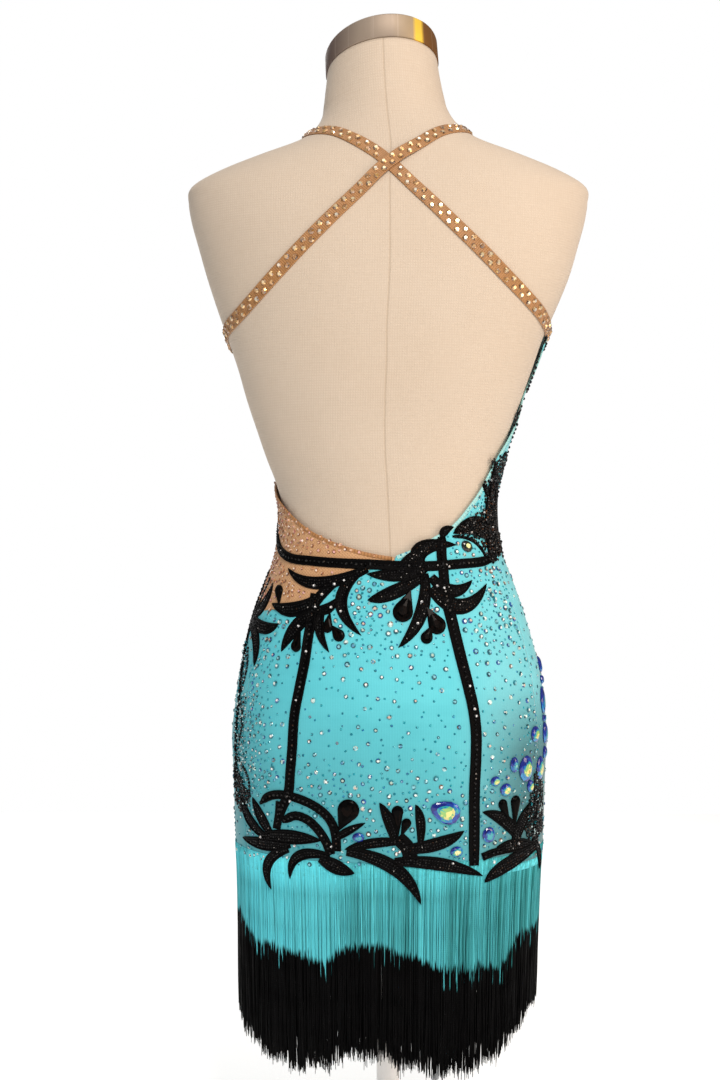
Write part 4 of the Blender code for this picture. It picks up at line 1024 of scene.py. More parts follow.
def sprinkle(gather, form, s, z, base, size, rng, crown, table, lean=0.12):
    """Crystals of a size at each place. crown and table are the colours to draw from, as (colours, chances)."""
    count, kinds = len(s), form[2]
    q = to_q(s, z)
    across, up, out = axes(q, z)
    turn = rng.uniform(0, 2 * math.pi, count)
    tip = rng.normal(0, lean, (count, 2))
    out = out + across * tip[:, :1] + up * tip[:, 1:]
    out /= np.linalg.norm(out, axis=1, keepdims=True)
    u = across * np.cos(turn)[:, None] + up * np.sin(turn)[:, None]
    u -= out * np.sum(u * out, axis=1, keepdims=True)
    u /= np.linalg.norm(u, axis=1, keepdims=True)
    made, groups = copies(form, place(q, z, base), u, out, size)
    picks = [rng.choice(len(colours), size=count, p=chances) for colours, chances in (crown, table)]
    crowns, tables = (np.array(c[0])[p] for c, p in zip((crown, table), picks))
    tinted = []
    for kind in kinds:
        on_top = kind[None, :, None] == 1
        other = np.array(crown[0])[rng.choice(len(crown[0]), (count, len(kind)), p=crown[1])]
        facets = np.where(rng.random((count, len(kind), 1)) < 0.5, crowns[:, None], other)
        tone = np.where(on_top, tables[:, None], facets)
        # Painted light and shade: each crown facet is made lighter or darker at random, as if it caught the light
        # at its own angle.
        shade = rng.uniform(0.55, 1.35, (count, len(kind), 1))
        tone = np.clip(tone * np.where(on_top, 1.0, shade), 0, 1)
        tone[..., 3] = 1
        tinted.append(tone.reshape(-1, 4))
    gather.take(made, groups, facets=tinted)


# Painted shade on each large stone: its facets are darkest up and towards the wearer's left.
PAINTED_SHADE_SIDE = np.array([-0.6, -0.8])      # painted on each stone: up and towards the wearer's left is dark


def gem(gather, s, z, outline, base, high, rng, rim, body, top):
    """A large cut stone: rings of facets from the rim up to the table, with body's colours painted in order across
    it in place of refraction, as painted light and shade: darkest up and towards the wearer's left, palest near
    the middle. The table takes top's colours."""
    outline = np.asarray(outline, float)
    n = len(outline)
    between = (outline + np.roll(outline, -1, 0)) / 2
    rings = [(outline, 1.0, 0.0), (outline, 1.03, 0.3), (between, 0.9, 0.66), (outline, 0.62, 0.9),
             (between, 0.42, 1.0), (outline[:1] * 0, 1.0, 1.0)]
    points, flat = [], []
    for line, share, rise in rings:
        x, y = s + line[:, 0] * share, z + line[:, 1] * share
        flat.append(line * share)
        points.append(place(to_q(x, y), y, np.full(len(line), base + high * rise)))
    i = np.arange(n)
    j = (i + 1) % n
    across = np.concatenate(flat) @ PAINTED_SHADE_SIDE
    across = (across - across.min()) / np.ptp(across)
    cuts, tones_of = [], []
    for k in (1, 2, 3, 4):
        a, b = k * n, (k + 1) * n
        if k == 4:
            pair = ((a + i, a + j, 0 * i + b),)
        elif k % 2:
            pair = ((a + i, a + j, b + i), (a + j, b + j, b + i))
        else:
            pair = ((a + i, b + j, b + i), (a + i, a + j, b + j))
        colours = np.array(rim if k == 1 else top if k == 4 and len(top) > 1 else body)
        for tri in pair:
            cuts.append(np.stack(tri, 1))
            at = across[cuts[-1]].mean(1)
            at = at if k == 4 else (1 - np.abs(at - 0.62) / 0.62) * (0.55 if k == 2 else 1)
            at = np.clip(at + rng.normal(0, 0.1, n), 0, 0.999)
            tones_of.append(colours[(at * len(colours)).astype(int)])
    gather.take(np.concatenate(points), [np.concatenate(cuts), np.stack([i, j, n + j, n + i], 1), i[::-1][None]],
                facets=[np.concatenate(tones_of), np.array(rim)[np.zeros(n, int)], np.array(rim)[:1]])


def ellipse(width, height, turn, sides=12, pear=0.0):
    a = np.arange(sides) * 2 * math.pi / sides
    x, y = width / 2 * np.cos(a), height / 2 * np.sin(a) * (1 - pear * np.cos(a))
    c, d = math.cos(math.radians(turn)), math.sin(math.radians(turn))
    return np.stack([x * c - y * d, x * d + y * c], 1)


def strewn(rng, room, spacing, tries):
    """Places (s, z) thrown at random over a box, no nearer to each other than spacing(s, z) says."""
    (s0, s1), (z0, z1) = room
    s, z = rng.uniform(s0, s1, tries), rng.uniform(z0, z1, tries)
    gaps = spacing(s, z)
    cells, kept = {}, []
    cell = 16.0
    for k in range(tries):
        gap = gaps[k]
        if not np.isfinite(gap):
            continue
        i, j = int(s[k] // cell), int(z[k] // cell)
        reach = 1 if gap <= cell else 2
        near = (p for a in range(i - reach, i + reach + 1) for b in range(j - reach, j + reach + 1)
                for p in cells.get((a, b), ()))
        if all((p[0] - s[k]) ** 2 + (p[1] - z[k]) ** 2 > gap * gap for p in near):
            cells.setdefault((i, j), []).append((s[k], z[k]))
            kept.append(k)
    return s[kept], z[kept]


def free(tree, s, z, size):
    """Which places have nothing of the beadwork over them."""
    open_here = np.ones(len(s), bool)
    for ds, dz in ((0, 0), (0.6, 0), (-0.6, 0), (0, 0.6), (0, -0.6)):
        open_here &= height_at(tree, s + ds * size, z + dz * size, -9.0) < -8
    return open_here


# ------------------------------------------------------------------ the form and its stand
def turned(name, profile, look, slot, stands_for, sides=96):
    """A part turned on the lathe: its half profile is drawn as edges and spun once round the pole."""
    renew(name)
    deselect()
    mesh = bpy.data.meshes.new(name)
    mesh.from_pydata([(r * MM, 0, z * MM) for r, z in profile], [(k, k + 1) for k in range(len(profile) - 1)], [])
    piece = bpy.data.objects.new(name, mesh)
    bpy.context.scene.collection.objects.link(piece)
    bpy.context.view_layer.objects.active = piece
    piece.select_set(True)
    bpy.ops.object.mode_set(mode="EDIT")
    bpy.ops.mesh.select_all(action="SELECT")
    bpy.ops.mesh.spin(steps=sides, angle=2 * math.pi, center=(0, 0, 0), axis=(0, 0, 1))
    bpy.ops.mesh.select_all(action="SELECT")
    bpy.ops.mesh.remove_doubles(threshold=0.00002)
    bpy.ops.mesh.normals_make_consistent(inside=False)
    bpy.ops.object.mode_set(mode="OBJECT")
    bevel = piece.modifiers.new("Softened edges", "BEVEL")
    bevel.width, bevel.segments, bevel.limit_method, bevel.angle_limit = 0.0008, 2, "ANGLE", math.radians(30)
    bpy.ops.object.modifier_apply(modifier=bevel.name)
    bpy.ops.object.shade_smooth_by_angle(angle=math.radians(32))
    piece.data.materials.clear()
    piece.data.materials.append(look)
    return settled(piece, (stands_for,))


class DRESS_OT_form(bpy.types.Operator):
    """Covers the form in linen and turns its neck cap, collar, pole and base"""
    bl_idname = "dress.form"
    bl_label = "Dress form"

    def execute(self, context):
        linen, steel, pale = form_linen(), brushed_steel(), pale_steel()
        way_round = np.linspace(-2, 2, 161)[:-1]
        z = np.unique(np.concatenate([np.linspace(FORM_BOTTOM_Z, 1040, 110), np.linspace(1040, NECK_TOP_Z, 54)]))
        q, z = np.meshgrid(way_round, z, indexing="ij")
        self.closed(q, z, np.zeros(q.shape)).make("form_linen", linen, "linen", ("form_body",))
        rows = np.array([(0.0, 0.2), (0.1, 0.9), (0.9, 1.4), (19.6, 1.4), (20.5, 1.1), (20.9, 0.4), (21.0, -0.6)])
        q, step = np.meshgrid(way_round, np.arange(len(rows)), indexing="ij")
        self.closed(q, CAP_BOTTOM_Z + rows[step, 0], rows[step, 1]).make("neck_cap", steel, "brushed_steel",
                                                                        ("form_neck_cap",))
        low, r, top = FORM_BOTTOM_Z - SEAM_GAP, POLE_RADIUS, BASE_HIGH
        for name, node, sides, profile in (
                ("stand_base", "form_base", 128,
                 [(0, 0), (BASE_RADIUS - 3, 0), (BASE_RADIUS, 2), (BASE_RADIUS, top - 3), (BASE_RADIUS - 4, top),
                  (r + 13, top + 1), (r + 9, top + 4), (r + 8, top + 14), (0, top + 14)]),
                ("stand_pole", "form_pole", 64,
                 [(0, top + 14.3), (r, top + 14.3), (r, low - 34.3), (0, low - 34.3)]),
                ("stand_collar", "form_collar", 64,
                 [(0, low - 34), (r + 9, low - 34), (r + 11, low - 31), (r + 11, low - 12), (30, low - 7),
                  (44, low - 6), (44, low), (0, low)])):
            turned(name, profile, pale, "brushed_steel", node, sides)
        return {"FINISHED"}

    @staticmethod
    def closed(q, z, out):
        """A closed body from rings of places, capped flat at both ends."""
        n, m = q.shape
        at = np.arange(n * m).reshape(n, m)
        made = Gather()
        made.take(place(q, z, out).reshape(-1, 3), [quads(np.concatenate([at, at[:1]])), at[:, 0][::-1][None],
                                                    at[:, -1][None]], laid_at(q, z).reshape(-1, 2))
        return made


# ------------------------------------------------------------------ the cloth
# Drag lines in the drawn cloth, in (s, z): from, to, how high, how wide.
DRAG_LINES = [((-150, 618), (-60, 560), 0.55, 7.0), ((-165, 590), (-75, 520), 0.5, 8.0),
              ((-170, 548), (-95, 500), 0.4, 7.0), ((150, 600), (60, 545), 0.45, 8.0),
              ((165, 560), (100, 500), 0.4, 8.0), ((-20, 600), (10, 520), 0.3, 10.0),
              ((-60, 440), (-20, 360), 0.35, 9.0), ((70, 450), (35, 360), 0.35, 9.0),
              ((-178, 480), (-120, 430), 0.4, 7.0)]


def drawn(q, z):
    """How far drag lines lift the cloth, in mm."""
    s, lift = around(q, z), np.zeros(np.shape(q))
    for a, b, high, wide in DRAG_LINES:
        for side in (1, -1) if abs(a[0]) < 30 else (1,):
            a0, b0 = np.array([a[0] * side, a[1]], float), np.array([b[0] * side, b[1]], float)
            along = b0 - a0
            t = np.clip(((s - a0[0]) * along[0] + (z - a0[1]) * along[1]) / np.dot(along, along), 0, 1)
            away = np.hypot(s - a0[0] - t * along[0], z - a0[1] - t * along[1])
            lift += high * np.exp(-(away / wide) ** 2) * np.sin(math.pi * np.clip(t, 0.02, 0.98)) ** 0.5
    return np.minimum(lift, MOST_LIFT)


def straight_edge(rows):
    q, z = [r[0] for r in rows], [r[1] for r in rows]
    return lambda x: np.interp(x, q, z)


def smooth_edge(rows):
    return curve_through([r[0] for r in rows], [r[1] for r in rows])


def bowed(q, z):
    """The bodice's places, its last stretch drawn forward by the bow of its edge."""
    return q + np.minimum(smooth_edge(EDGE_BOW)(z), 0) * np.clip((q - BOW_FROM_Q) / BOW_RUN_Q, 0, 1)


def bodice_edges(count=241):
    rows = np.array(BODICE_ROWS, float)
    u, at = np.arange(len(rows), dtype=float), np.linspace(0, len(rows) - 1, count)
    low = [np.interp(at, u, rows[:, k]) for k in (0, 1)]
    high = [curve_through(u, rows[:, k])(at) for k in (2, 3)]
    return np.stack(low, 1), np.stack(high, 1)


def fold(gather, q, z, tree, outside=1, wide=4.4):
    """A turned edge along (q, z) places, wrapped over the cut edge; outside says on which side the cloth ends."""
    line, _ = even(np.stack([around(q, z), z], 1), 4.0)
    half = wide / 2
    section = np.array([(-half, 0.0), (-half + 0.3, 0.42), (0, 0.5), (half - 0.7, 0.48), (half - 0.15, 0.1),
                        (half, -0.6), (half - 0.3, -1.3), (half - 1.2, -1.55), (half - 1.4, -0.4)])
    section[:, 0] *= outside
    inner = line - crosswise(line) * outside * (half - 0.3)
    sweep(gather, inner, np.repeat(section[None], len(line), 0), tree)


class DRESS_OT_cloth(bpy.types.Operator):
    """Cuts and lays the skirt's back and front, the bodice and the nude mesh, with their turned edges"""
    bl_idname = "dress.cloth"
    bl_label = "Cloth panels"

    def execute(self, context):
        knit, net = turquoise_knit(), nude_net()
        low, scoop, high = straight_edge(MESH_LOW), smooth_edge(SCOOP_RIGHT), smooth_edge(MESH_HIGH)
        near_seam = SIDE_SEAM - SEAM_Q
        q = np.unique(np.concatenate([np.linspace(-near_seam, SCOOP_END_Q, 90),
                                      np.linspace(TIP_Q, near_seam, 96)]))
        top = np.where(q < -0.03, scoop(q), low(q) - SEAM_GAP)
        self.panel("skirt_back_cloth", (q, 0 * q + HEM_Z), (q, top), 90, knit, "turquoise_cloth", "skirt_back",
                   (0.365, 0.43), 0.109)

        edge_low, edge_high = bodice_edges()
        self.panel("bodice_cloth", edge_low.T, edge_high.T, 70, knit, "turquoise_cloth", "bodice_front",
                   (0.60, 0.37), 0.114)

        seam = straight_edge(MESH_LOW + WAIST_SEAM[1:])
        q = np.linspace(SIDE_SEAM + SEAM_Q, 4 - SIDE_SEAM - SEAM_Q, 260)
        self.panel("skirt_front_cloth", (q, 0 * q + HEM_Z), (q, seam(q) - SEAM_GAP), 84, knit, "turquoise_cloth",
                   "skirt_front", (0.56, 0.37), 0.170)

        q_low = np.linspace(TIP_Q, 1.55, 130)
        q_high = TIP_Q + 1.44 * (q_low + 0.02) / 1.57
        self.panel("mesh_cloth", (q_low, low(q_low)), (q_high, high(q_high)), 40, net, "nude_mesh", "mesh_panel",
                   (0.28, 0.17), 0.027)

        tree = ground(CLOTHS)
        edges, nude = Gather(), Gather()
        q = np.linspace(-0.745, SCOOP_END_Q, 60)
        fold(edges, q, scoop(q), tree)
        q, z = edge_high[2:-2].T
        fold(edges, bowed(q, z), z, tree)
        fold(edges, *edge_low[edge_low[:, 0] < MESH_END_Q][1:].T, tree, -1)
        z = np.linspace(770, 884, 30)
        fold(edges, bowed(0 * z + 4 - SIDE_SEAM - SEAM_Q, z), z, tree, -1)
        edges.make("turquoise_edges", folded_edge("Turned turquoise edge", "#aee0de", "#7cccd2"),
                   "turquoise_cloth")
        q = np.linspace(-0.01, MESH_END_Q, 90)
        fold(nude, q, high(q), tree)
        nude.make("nude_edges", folded_edge("Turned nude edge", "#c08a52", "#8a5a2c"), "nude_mesh")
        return {"FINISHED"}

    @staticmethod
    def panel(name, low, high, rows, look, slot, node, flat, area):
        """One panel between its low and its high edge, each given as (q, z)."""
        low, high = (np.stack(edge, 1)[:, None] for edge in (low, high))
        grid = low + (high - low) * np.linspace(0, 1, rows)[None, :, None]
        q, z = grid[..., 0], grid[..., 1]
        ease = 0
        if node == "bodice_front":
            q, ease = bowed(q, z), BUST_EASE
        lift = drawn(q, z) if name.startswith("skirt") else np.zeros(q.shape)
        cloth = Gather()
        shell(cloth, q, z, INSIDE + ease + lift, OUTSIDE + ease + lift)
        piece = cloth.make(name, look, slot, (node,))


# ------------------------------------------------------------------ straps
class DRESS_OT_straps(bpy.types.Operator):
    """Lays both elastic straps over the form and sets two staggered rows of crystals on each"""
    bl_idname = "dress.straps"
    bl_label = "Crossed straps"

    def execute(self, context):
        elastic = strap_elastic()
        tree = ground((*CLOTHS, "turquoise_edges", "nude_edges"))
        rng = np.random.default_rng(11)
        form = crystal_form(8, 0.55, 0.62, 0.2)
        gold = tones("#b98336 #8a5a20 #e2b566 #5f3c16", 0.35, 0.25, 0.25, 0.15)
        # bright: the tables' colours, the gold drawn paler as a painted glint.
        bright = tones("#f7dfae #e0aa58 #fff6df #b07a35", 0.35, 0.3, 0.2, 0.15)
        stones = Gather()
        for name, path, node, over in (("strap_under_elastic", STRAP_UNDER, "strap_under", False),
                                       ("strap_over_elastic", STRAP_OVER, "strap_over", True)):
            path = np.array(path, float)
            u = np.arange(len(path), dtype=float)
            fine = np.linspace(0, u[-1], 40 * len(u))
            fq, fz = (curve_through(u, path[:, k])(fine) for k in (0, 1))
            run = runs(skin(fq, fz))
            n = int(run[-1] / 4.0) + 1
            at = np.linspace(0, run[-1], n)
            q, z = np.interp(at, run, fq), np.interp(at, run, fz)
            rise = level(tree, q, z, 0.0)
            crossing = np.abs(at - run[np.argmin(np.abs(fq - CROSSING[0]) + np.abs(fz - CROSSING[1]) / 100)])
            if over:
                rise = rise + (STRAP_THICK + 0.35) * np.clip(1.9 - crossing / 14.0, 0, 1)
            wide = np.max([np.roll(rise, k) for k in range(-3, 4)], axis=0)
            wide[:3], wide[-3:] = rise[:3].max(), rise[-3:].max()
            rise = np.convolve(np.pad(wide, 3, mode="edge"), np.ones(7) / 7, "valid")
            middle = place(q, z, rise + 0.35)
            along = unit(np.gradient(middle, axis=0))
            side = unit(np.cross(along, place(q, z, np.ones(n)) - place(q, z, np.zeros(n))))
            out = np.cross(side, along)
            h = STRAP_WIDTH / 2
            section = np.array([(-h, 0.35), (-h + 0.2, 1.0), (-h + 1.0, 1.25), (-h + 1.6, 1.05), (0, 1.15),
                                (h - 1.6, 1.05), (h - 1.0, 1.25), (h - 0.2, 1.0), (h, 0.35), (h - 0.6, 0.0),
                                (-h + 0.6, 0.0)])
            band = Gather()
            band.tube(middle[:, None] + side[:, None] * section[:, :1] + out[:, None] * section[:, 1:], at,
                      section[:, 0])
            piece = band.make(name, elastic, "nude_elastic", (node,))
            for row, start in ((-1, 6.0), (1, 12.0)):
                spots = np.arange(start, run[-1] - 6, 12.0)
                if not over:
                    spots = spots[np.interp(spots, at, crossing) > 10]
                centre, s_dir, a_dir, o_dir = (follow(spots, at, d) for d in (middle, side, along, out))
                centre = centre + s_dir * 3.3 * row + o_dir * 1.1
                size = rng.uniform(5.6, 6.8, len(spots))
                turn = rng.uniform(0, math.pi, len(spots))[:, None]
                made, groups = copies(form, centre, s_dir * np.cos(turn) + a_dir * np.sin(turn), o_dir, size)
                stones.take(made, groups,
                            facets=[self.tint(kind, len(spots), rng, gold, bright) for kind in form[2]])
        stones.make("strap_crystals", cut_glass("Gold crystal", 0.1, 0.55, 1.0), "nude_elastic", smooth=False)
        return {"FINISHED"}

    @staticmethod
    def tint(kind, count, rng, crown, table):
        drawn_from = [np.array(colours)[rng.choice(len(colours), (count, len(kind)), p=chances)]
                      for colours, chances in (table, crown)]
        return np.where(kind[None, :, None] == 1, *drawn_from).reshape(-1, 4)


# ------------------------------------------------------------------ beadwork
CLOTHS = ("skirt_back_cloth", "bodice_cloth", "skirt_front_cloth", "mesh_cloth")


# Strings of round beads at the wearer's left side, each a line of (s, z) places and the beads' size.
SIDE_CHAINS = [([(150, 634), (158, 622), (165, 612), (172, 602), (178, 592), (183, 578), (186, 560), (188, 540),
                 (189, 515), (190, 490), (191, 465), (193, 440), (195, 416)], 3.8),
               ([(140, 628), (148, 616), (157, 603), (166, 594)], 3.6),
               ([(176, 560), (172, 546), (176, 530), (183, 518)], 3.4),
               ([(184, 505), (178, 494), (176, 480), (180, 466), (186, 456)], 3.4),
               ([(186, 450), (178, 441), (170, 436), (163, 428), (160, 416), (163, 404)], 3.8),
               ([(191, 436), (184, 428), (176, 422), (170, 412), (166, 402)], 3.8)]


# The thick bead mass at the wearer's right, an outline of (s, z) places, with what stays open in it.
MASS_LINE = [(-111, 740), (-113, 730), (-112, 712), (-95, 704), (-79, 694), (-70, 686), (-71, 681), (-82, 680),
             (-99, 673), (-109, 659), (-112, 650), (-129, 652), (-134, 658), (-147, 664), (-152, 674),
             (-146, 684), (-138, 690), (-140, 708), (-135, 726), (-139, 740), (-141, 754), (-134, 764),
             (-121, 764), (-120, 750), (-122, 742)]
MASS_ROOM = ((-160, -66), (646, 767))
MASS_OPEN = [(-115, 694, 2.6), (-114, 678, 2.8), (-139, 682, 2.2), (-127, 708, 1.6)]
# Beads up the right edge, as (s, z, size).
EDGE_BEADS = [(-214, 899, 4.5), (-211, 896, 4.5), (-213, 893, 4.0), (-209, 890, 4.0), (-212, 887, 3.6),
              (-206, 878, 3.0), (-205, 872, 3.4), (-201.5, 866, 4.4), (-200, 860, 4.2), (-198, 855, 4.2),
              (-196, 850.5, 4.2), (-193.5, 846, 4.0), (-191, 842.5, 4.2), (-188, 839.5, 3.4), (-187, 832, 3.0),
              (-184, 824, 3.6), (-183, 820, 4.0), (-182, 816, 4.4), (-179, 818, 4.0), (-180, 812, 4.6),
              (-176, 815, 4.0), (-172, 813, 4.0), (-169, 810, 3.8), (-177, 809, 4.4), (-173, 808, 4.0),
              (-178, 805, 4.2), (-174, 803, 3.8), (-176, 800, 4.0), (-175, 795.5, 3.8), (-173.5, 791, 3.6),
              (-171.5, 786, 3.0), (-169.5, 780, 3.2), (-168, 775, 3.4), (-166.5, 771, 3.6), (-165.5, 766, 5.0),
              (-161, 768, 3.6), (-163, 761, 4.6), (-161.5, 756, 3.6), (-160, 751, 4.0), (-156, 753, 3.6),
              (-158, 746, 3.6), (-157, 741, 3.8), (-156, 736, 4.0), (-155, 731, 3.8), (-154, 726, 3.6),
              (-153, 720, 3.4), (-152, 714, 3.6), (-151, 708, 3.4), (-151, 702, 3.6), (-152, 696, 3.8),
              (-153, 690, 3.6), (-154, 684, 4.0), (-156, 678, 4.4), (-157, 672, 4.6), (-157, 667, 4.2),
              (-153, 662, 4.0), (-148, 658, 4.0)]


# Beads sewn close beside the sprays: which string they join, the outline, the gap and the chances of the colours.
BEAD_FIELDS = [("right",
                [(-133, 767), (-141, 752), (-139, 738), (-153, 736), (-160, 752), (-167, 768), (-150, 774)],
                2.6, (0.93, 0.04, 0.03)),
               ("left", [(195, 436), (174, 424), (158, 409), (164, 395), (179, 389), (195, 398)], 2.7,
                (0.9, 0.06, 0.04)),
               ("left", [(176, 566), (188, 566), (195, 434), (172, 424), (165, 450), (170, 500)], 4.0,
                (0.36, 0.36, 0.28)),
               ("right", [(-166, 432), (-187, 440), (-191, 368), (-180, 364), (-166, 392)], 2.3,
                (0.94, 0.03, 0.03)),
               ("right",
                [(-150, 366), (-152, 396), (-160, 412), (-168, 426), (-182, 416), (-186, 364), (-168, 358)],
                2.7, (0.92, 0.04, 0.04))]


def within(line, s, z):
    """Which places lie inside an outline."""
    found = np.zeros(np.shape(s), bool)
    for (x0, y0), (x1, y1) in zip(line, line[1:] + line[:1]):
        crosses = (y0 > z) != (y1 > z)
        found ^= crosses & (s < x0 + (z - y0) * (x1 - x0) / ((y1 - y0) or 1e-9))
    return found


def band_half(share, width, taper):
    return width / 2 * np.interp(share, [0, 0.08, 0.92, 1], [taper[0], 1, 1, taper[1]])


def inner_rows(line, half, pitch):
    """Places for crystals in rows down the floor of a corded line."""
    run = runs(line)
    spots = np.arange(pitch * 0.6, run[-1], pitch)
    found = []
    room = np.interp(spots, run, half) - 2.4
    for c, d, w in zip(follow(spots, run, line), follow(spots, run, crosswise(line)), room):
        if w < 0.6:
            continue
        count = 1 + int(2 * max(0.0, w - 0.9) // pitch)
        found += [c + d * (i - (count - 1) / 2) * pitch for i in range(count)]
    return np.array(found).reshape(-1, 2)


# Clear crystals at the roots and joints of the sprays, as (s, z).
HUBS = [(80, 628), (71, 619), (78, 606), (58, 630), (48, 634), (96, 586), (61, 606), (51, 602), (87, 561),
        (-47, 628), (-54, 626), (-31, 612), (-27, 590), (-42, 604), (-79, 527), (-84, 504), (-86, 497),
        (98, 512), (-60, 648), (-108, 706), (-124, 690), (141, 368), (60, 366), (99, 364), (-8, 362),
        (-138, 362), (-176, 356), (-62, 348), (-120, 742), (-88, 684), (104, 410)]


class DRESS_OT_beadwork(bpy.types.Operator):
    """Cords the leaves, drops and bands of the waist, the back and the hem, and fills them with crystals"""
    bl_idname = "dress.beadwork"
    bl_label = "Beadwork"

    def execute(self, context):
        beads = settings("dress_beads")
        self.cord = satin_cord()
        self.tree = ground(CLOTHS)
        self.rng = np.random.default_rng(23)
        self.pitch = beads.row_pitch / MM
        self.spots, self.drops = [], []
        left = [(82.5, 591), *BAND_LEFT, (108.5, 413), (113, 404), (117.5, 393)]
        self.group("waist_beads", WAIST_LEAVES, WAIST_DROPS, WAIST_BANDS, "waist_beading")
        self.group("band_left_beads", [], [], [(left, 11, (1.0, 0.9))], "band_left")
        self.group("band_right_beads", [], [], [([(-59, 606), *BAND_RIGHT], 12, (1.0, 0.9))], "band_right")
        for side, spray in (("left", HEM_LEFT), ("centre", HEM_CENTRE), ("right", HEM_RIGHT)):
            self.group("hem_beads_" + side, spray["leaves"], spray["drops"], spray["bands"], "hem_spray_" + side)
        self.group("side_beads_left", SIDE_LEAVES, [], [(SIDE_CORD, 5.5, (0.7, 0.7))], "side_cord_left")
        self.chains()
        self.jets(beads)
        return {"FINISHED"}

    def group(self, name, leaves, drops, bands, node):
        made = Gather()
        for k, row in enumerate(leaves):
            line, half = leaf_line(*row[:3], row[3] + 0.6)
            base = sweep(made, line, corded(half), self.tree, lift=0.004 * k)
            places = inner_rows(line, half, self.pitch)
            self.spots.append((places, np.full(len(places), float(np.median(base)) + 0.75), 2.5, row[3] > 15))
        for k, row in enumerate(drops):
            line, half = drop_line(*row)
            base = sweep(made, line, corded(half, cord=1.2, rise=1.3, floor=0.5), self.tree, lift=0.3 + 0.005 * k)
            self.drops.append((row, float(np.median(base)) + 0.9))
        for k, (points, width, taper) in enumerate(bands):
            line, share = even(points, 4.0)
            half = band_half(share, width, taper)
            base = sweep(made, line, corded(half, rise=1.7, crown=0.05), self.tree, lift=0.25 - 0.1 * k)
            run = runs(line)
            spots = np.arange(3.0, run[-1] - 2, 4.9)
            self.spots.append((follow(spots, run, line), np.interp(spots, run, base) + 1.0, 3.7, False))
        made.make(name, self.cord, "black_beads", (node,))

    def chains(self):
        """Strings of round jet beads down the wearer's left side, and clusters up the right edge."""
        rng = self.rng
        form = crystal_form(8, 0.5, 1.0, 0.45)
        jet = tones("#0a0a0c #17181d #26313a #040405", 0.45, 0.25, 0.1, 0.2)
        chain, edge = Gather(), Gather()
        for points, size in SIDE_CHAINS:
            s, z = even(points, size * 1.02)[0].T
            base = height_at(self.tree, s, z)
            base = np.where((s > 172) & (z > 412), np.maximum(base, OUTSIDE), base)
            sprinkle(chain, form, s, z, base, rng.uniform(0.92, 1.08, len(s)) * size, rng, jet, jet, 0.3)
        glass = cut_glass("Jet bead", 0.2, 0.0, 0.15, 0.12)
        tree = ground((*CLOTHS, "waist_beads", "hem_beads_left", "hem_beads_right", "side_beads_left"))
        for side, line, gap, shares in BEAD_FIELDS:
            room = tuple((min(v), max(v)) for v in zip(*line))
            s, z = strewn(rng, room, lambda s, z: np.full(len(s), gap), 6000)
            s, z = only(within(line, s, z), s, z)
            base = np.maximum(height_at(tree, s, z, 0.0), OUTSIDE)
            mixed = tones("#08080a #23808e #b9d3d6", *shares)
            sprinkle(chain if side == "left" else edge, form, s, z, base, rng.uniform(2.9, 4.2, len(s)), rng,
                     mixed, mixed, 0.35)
        chain.make("side_chain_left", glass, "black_beads", smooth=False)
        s, z, size = np.array(EDGE_BEADS, float).T
        base = np.maximum(height_at(self.tree, s, z, 0.0), CLOTH_GAP)
        sprinkle(edge, form, s, z, base, size, rng, jet, jet, 0.3)
        s, z = strewn(rng, MASS_ROOM, lambda s, z: np.full(len(s), 2.55), 12000)
        keep = within(MASS_LINE, s, z)
        for x, y, r in MASS_OPEN:
            keep &= np.hypot(s - x, z - y) > r
        s, z = only(keep, s, z)
        base = np.maximum(height_at(tree, s, z, 0.0), OUTSIDE)
        # The mass's own black and bronze, with the few paler orange and grey ones as a painted glint.
        bronze = tones("#08080a #121214 #24150d #4a2c1a #80502e #7d7f83", 0.56, 0.29, 0.09, 0.03, 0.01, 0.02)
        sprinkle(edge, form, s, z, base, rng.uniform(2.6, 3.7, len(s)), rng, bronze, bronze, 0.35)
        edge.make("edge_beads_right", glass, "black_beads", smooth=False)

    def jets(self, beads):
        rng = self.rng
        small = crystal_form(6, 0.5, 0.75)
        jet = tones("#060607 #0d0d0f #15110f #020202", 0.4, 0.25, 0.1, 0.25)
        # Tables of the jet crystals: jet, dark grey and bronze, and a few pale ones as a painted glint.
        plain, rich = (([rgba(beads.jet), linear("#1d1d20"), rgba(beads.bronze), linear(code)], chances)
                       for code, chances in (("#77706a", (0.7, 0.24, 0.05, 0.01)),
                                             ("#6f5a4a", (0.54, 0.24, 0.18, 0.04))))
        made, pears = Gather(), Gather()
        for places, base, size, is_rich in self.spots:
            if len(places):
                sprinkle(made, small, *places.T, base, rng.uniform(0.92, 1.1, len(places)) * size, rng, jet,
                         rich if is_rich else plain, 0.22)
        s, z = np.array(HUBS, float).T
        # Clear crystals at the hubs: grey crowns and white tables, the white partly a painted glint.
        sprinkle(made, small, s, z, height_at(self.tree, s, z) + 1.9, rng.uniform(2.6, 3.6, len(s)), rng,
                 tones("#8d8f93 #c9cdd0", 0.5, 0.5), tones("#ffffff #e9dccd", 0.6, 0.4), 0.3)
        made.make("jet_crystals", cut_glass("Jet crystal", 0.15, 0.0, 0.22, 0.14), "black_beads", smooth=False)
        dark = tones("#050506 #080808 #120c0a #020202")[0]
        for (point, middle, width), base in self.drops:
            outline = drop_outline(point, middle, width) * (1 - 1.5 / width)
            gem(pears, *middle, outline, base, 1.4 + width * 0.08, rng, dark, dark, [linear("#040404")])
        pears.make("jet_drops", cut_glass("Jet drop", 0.18, 0.0, 0.03, 0.02), "black_beads", smooth=False)


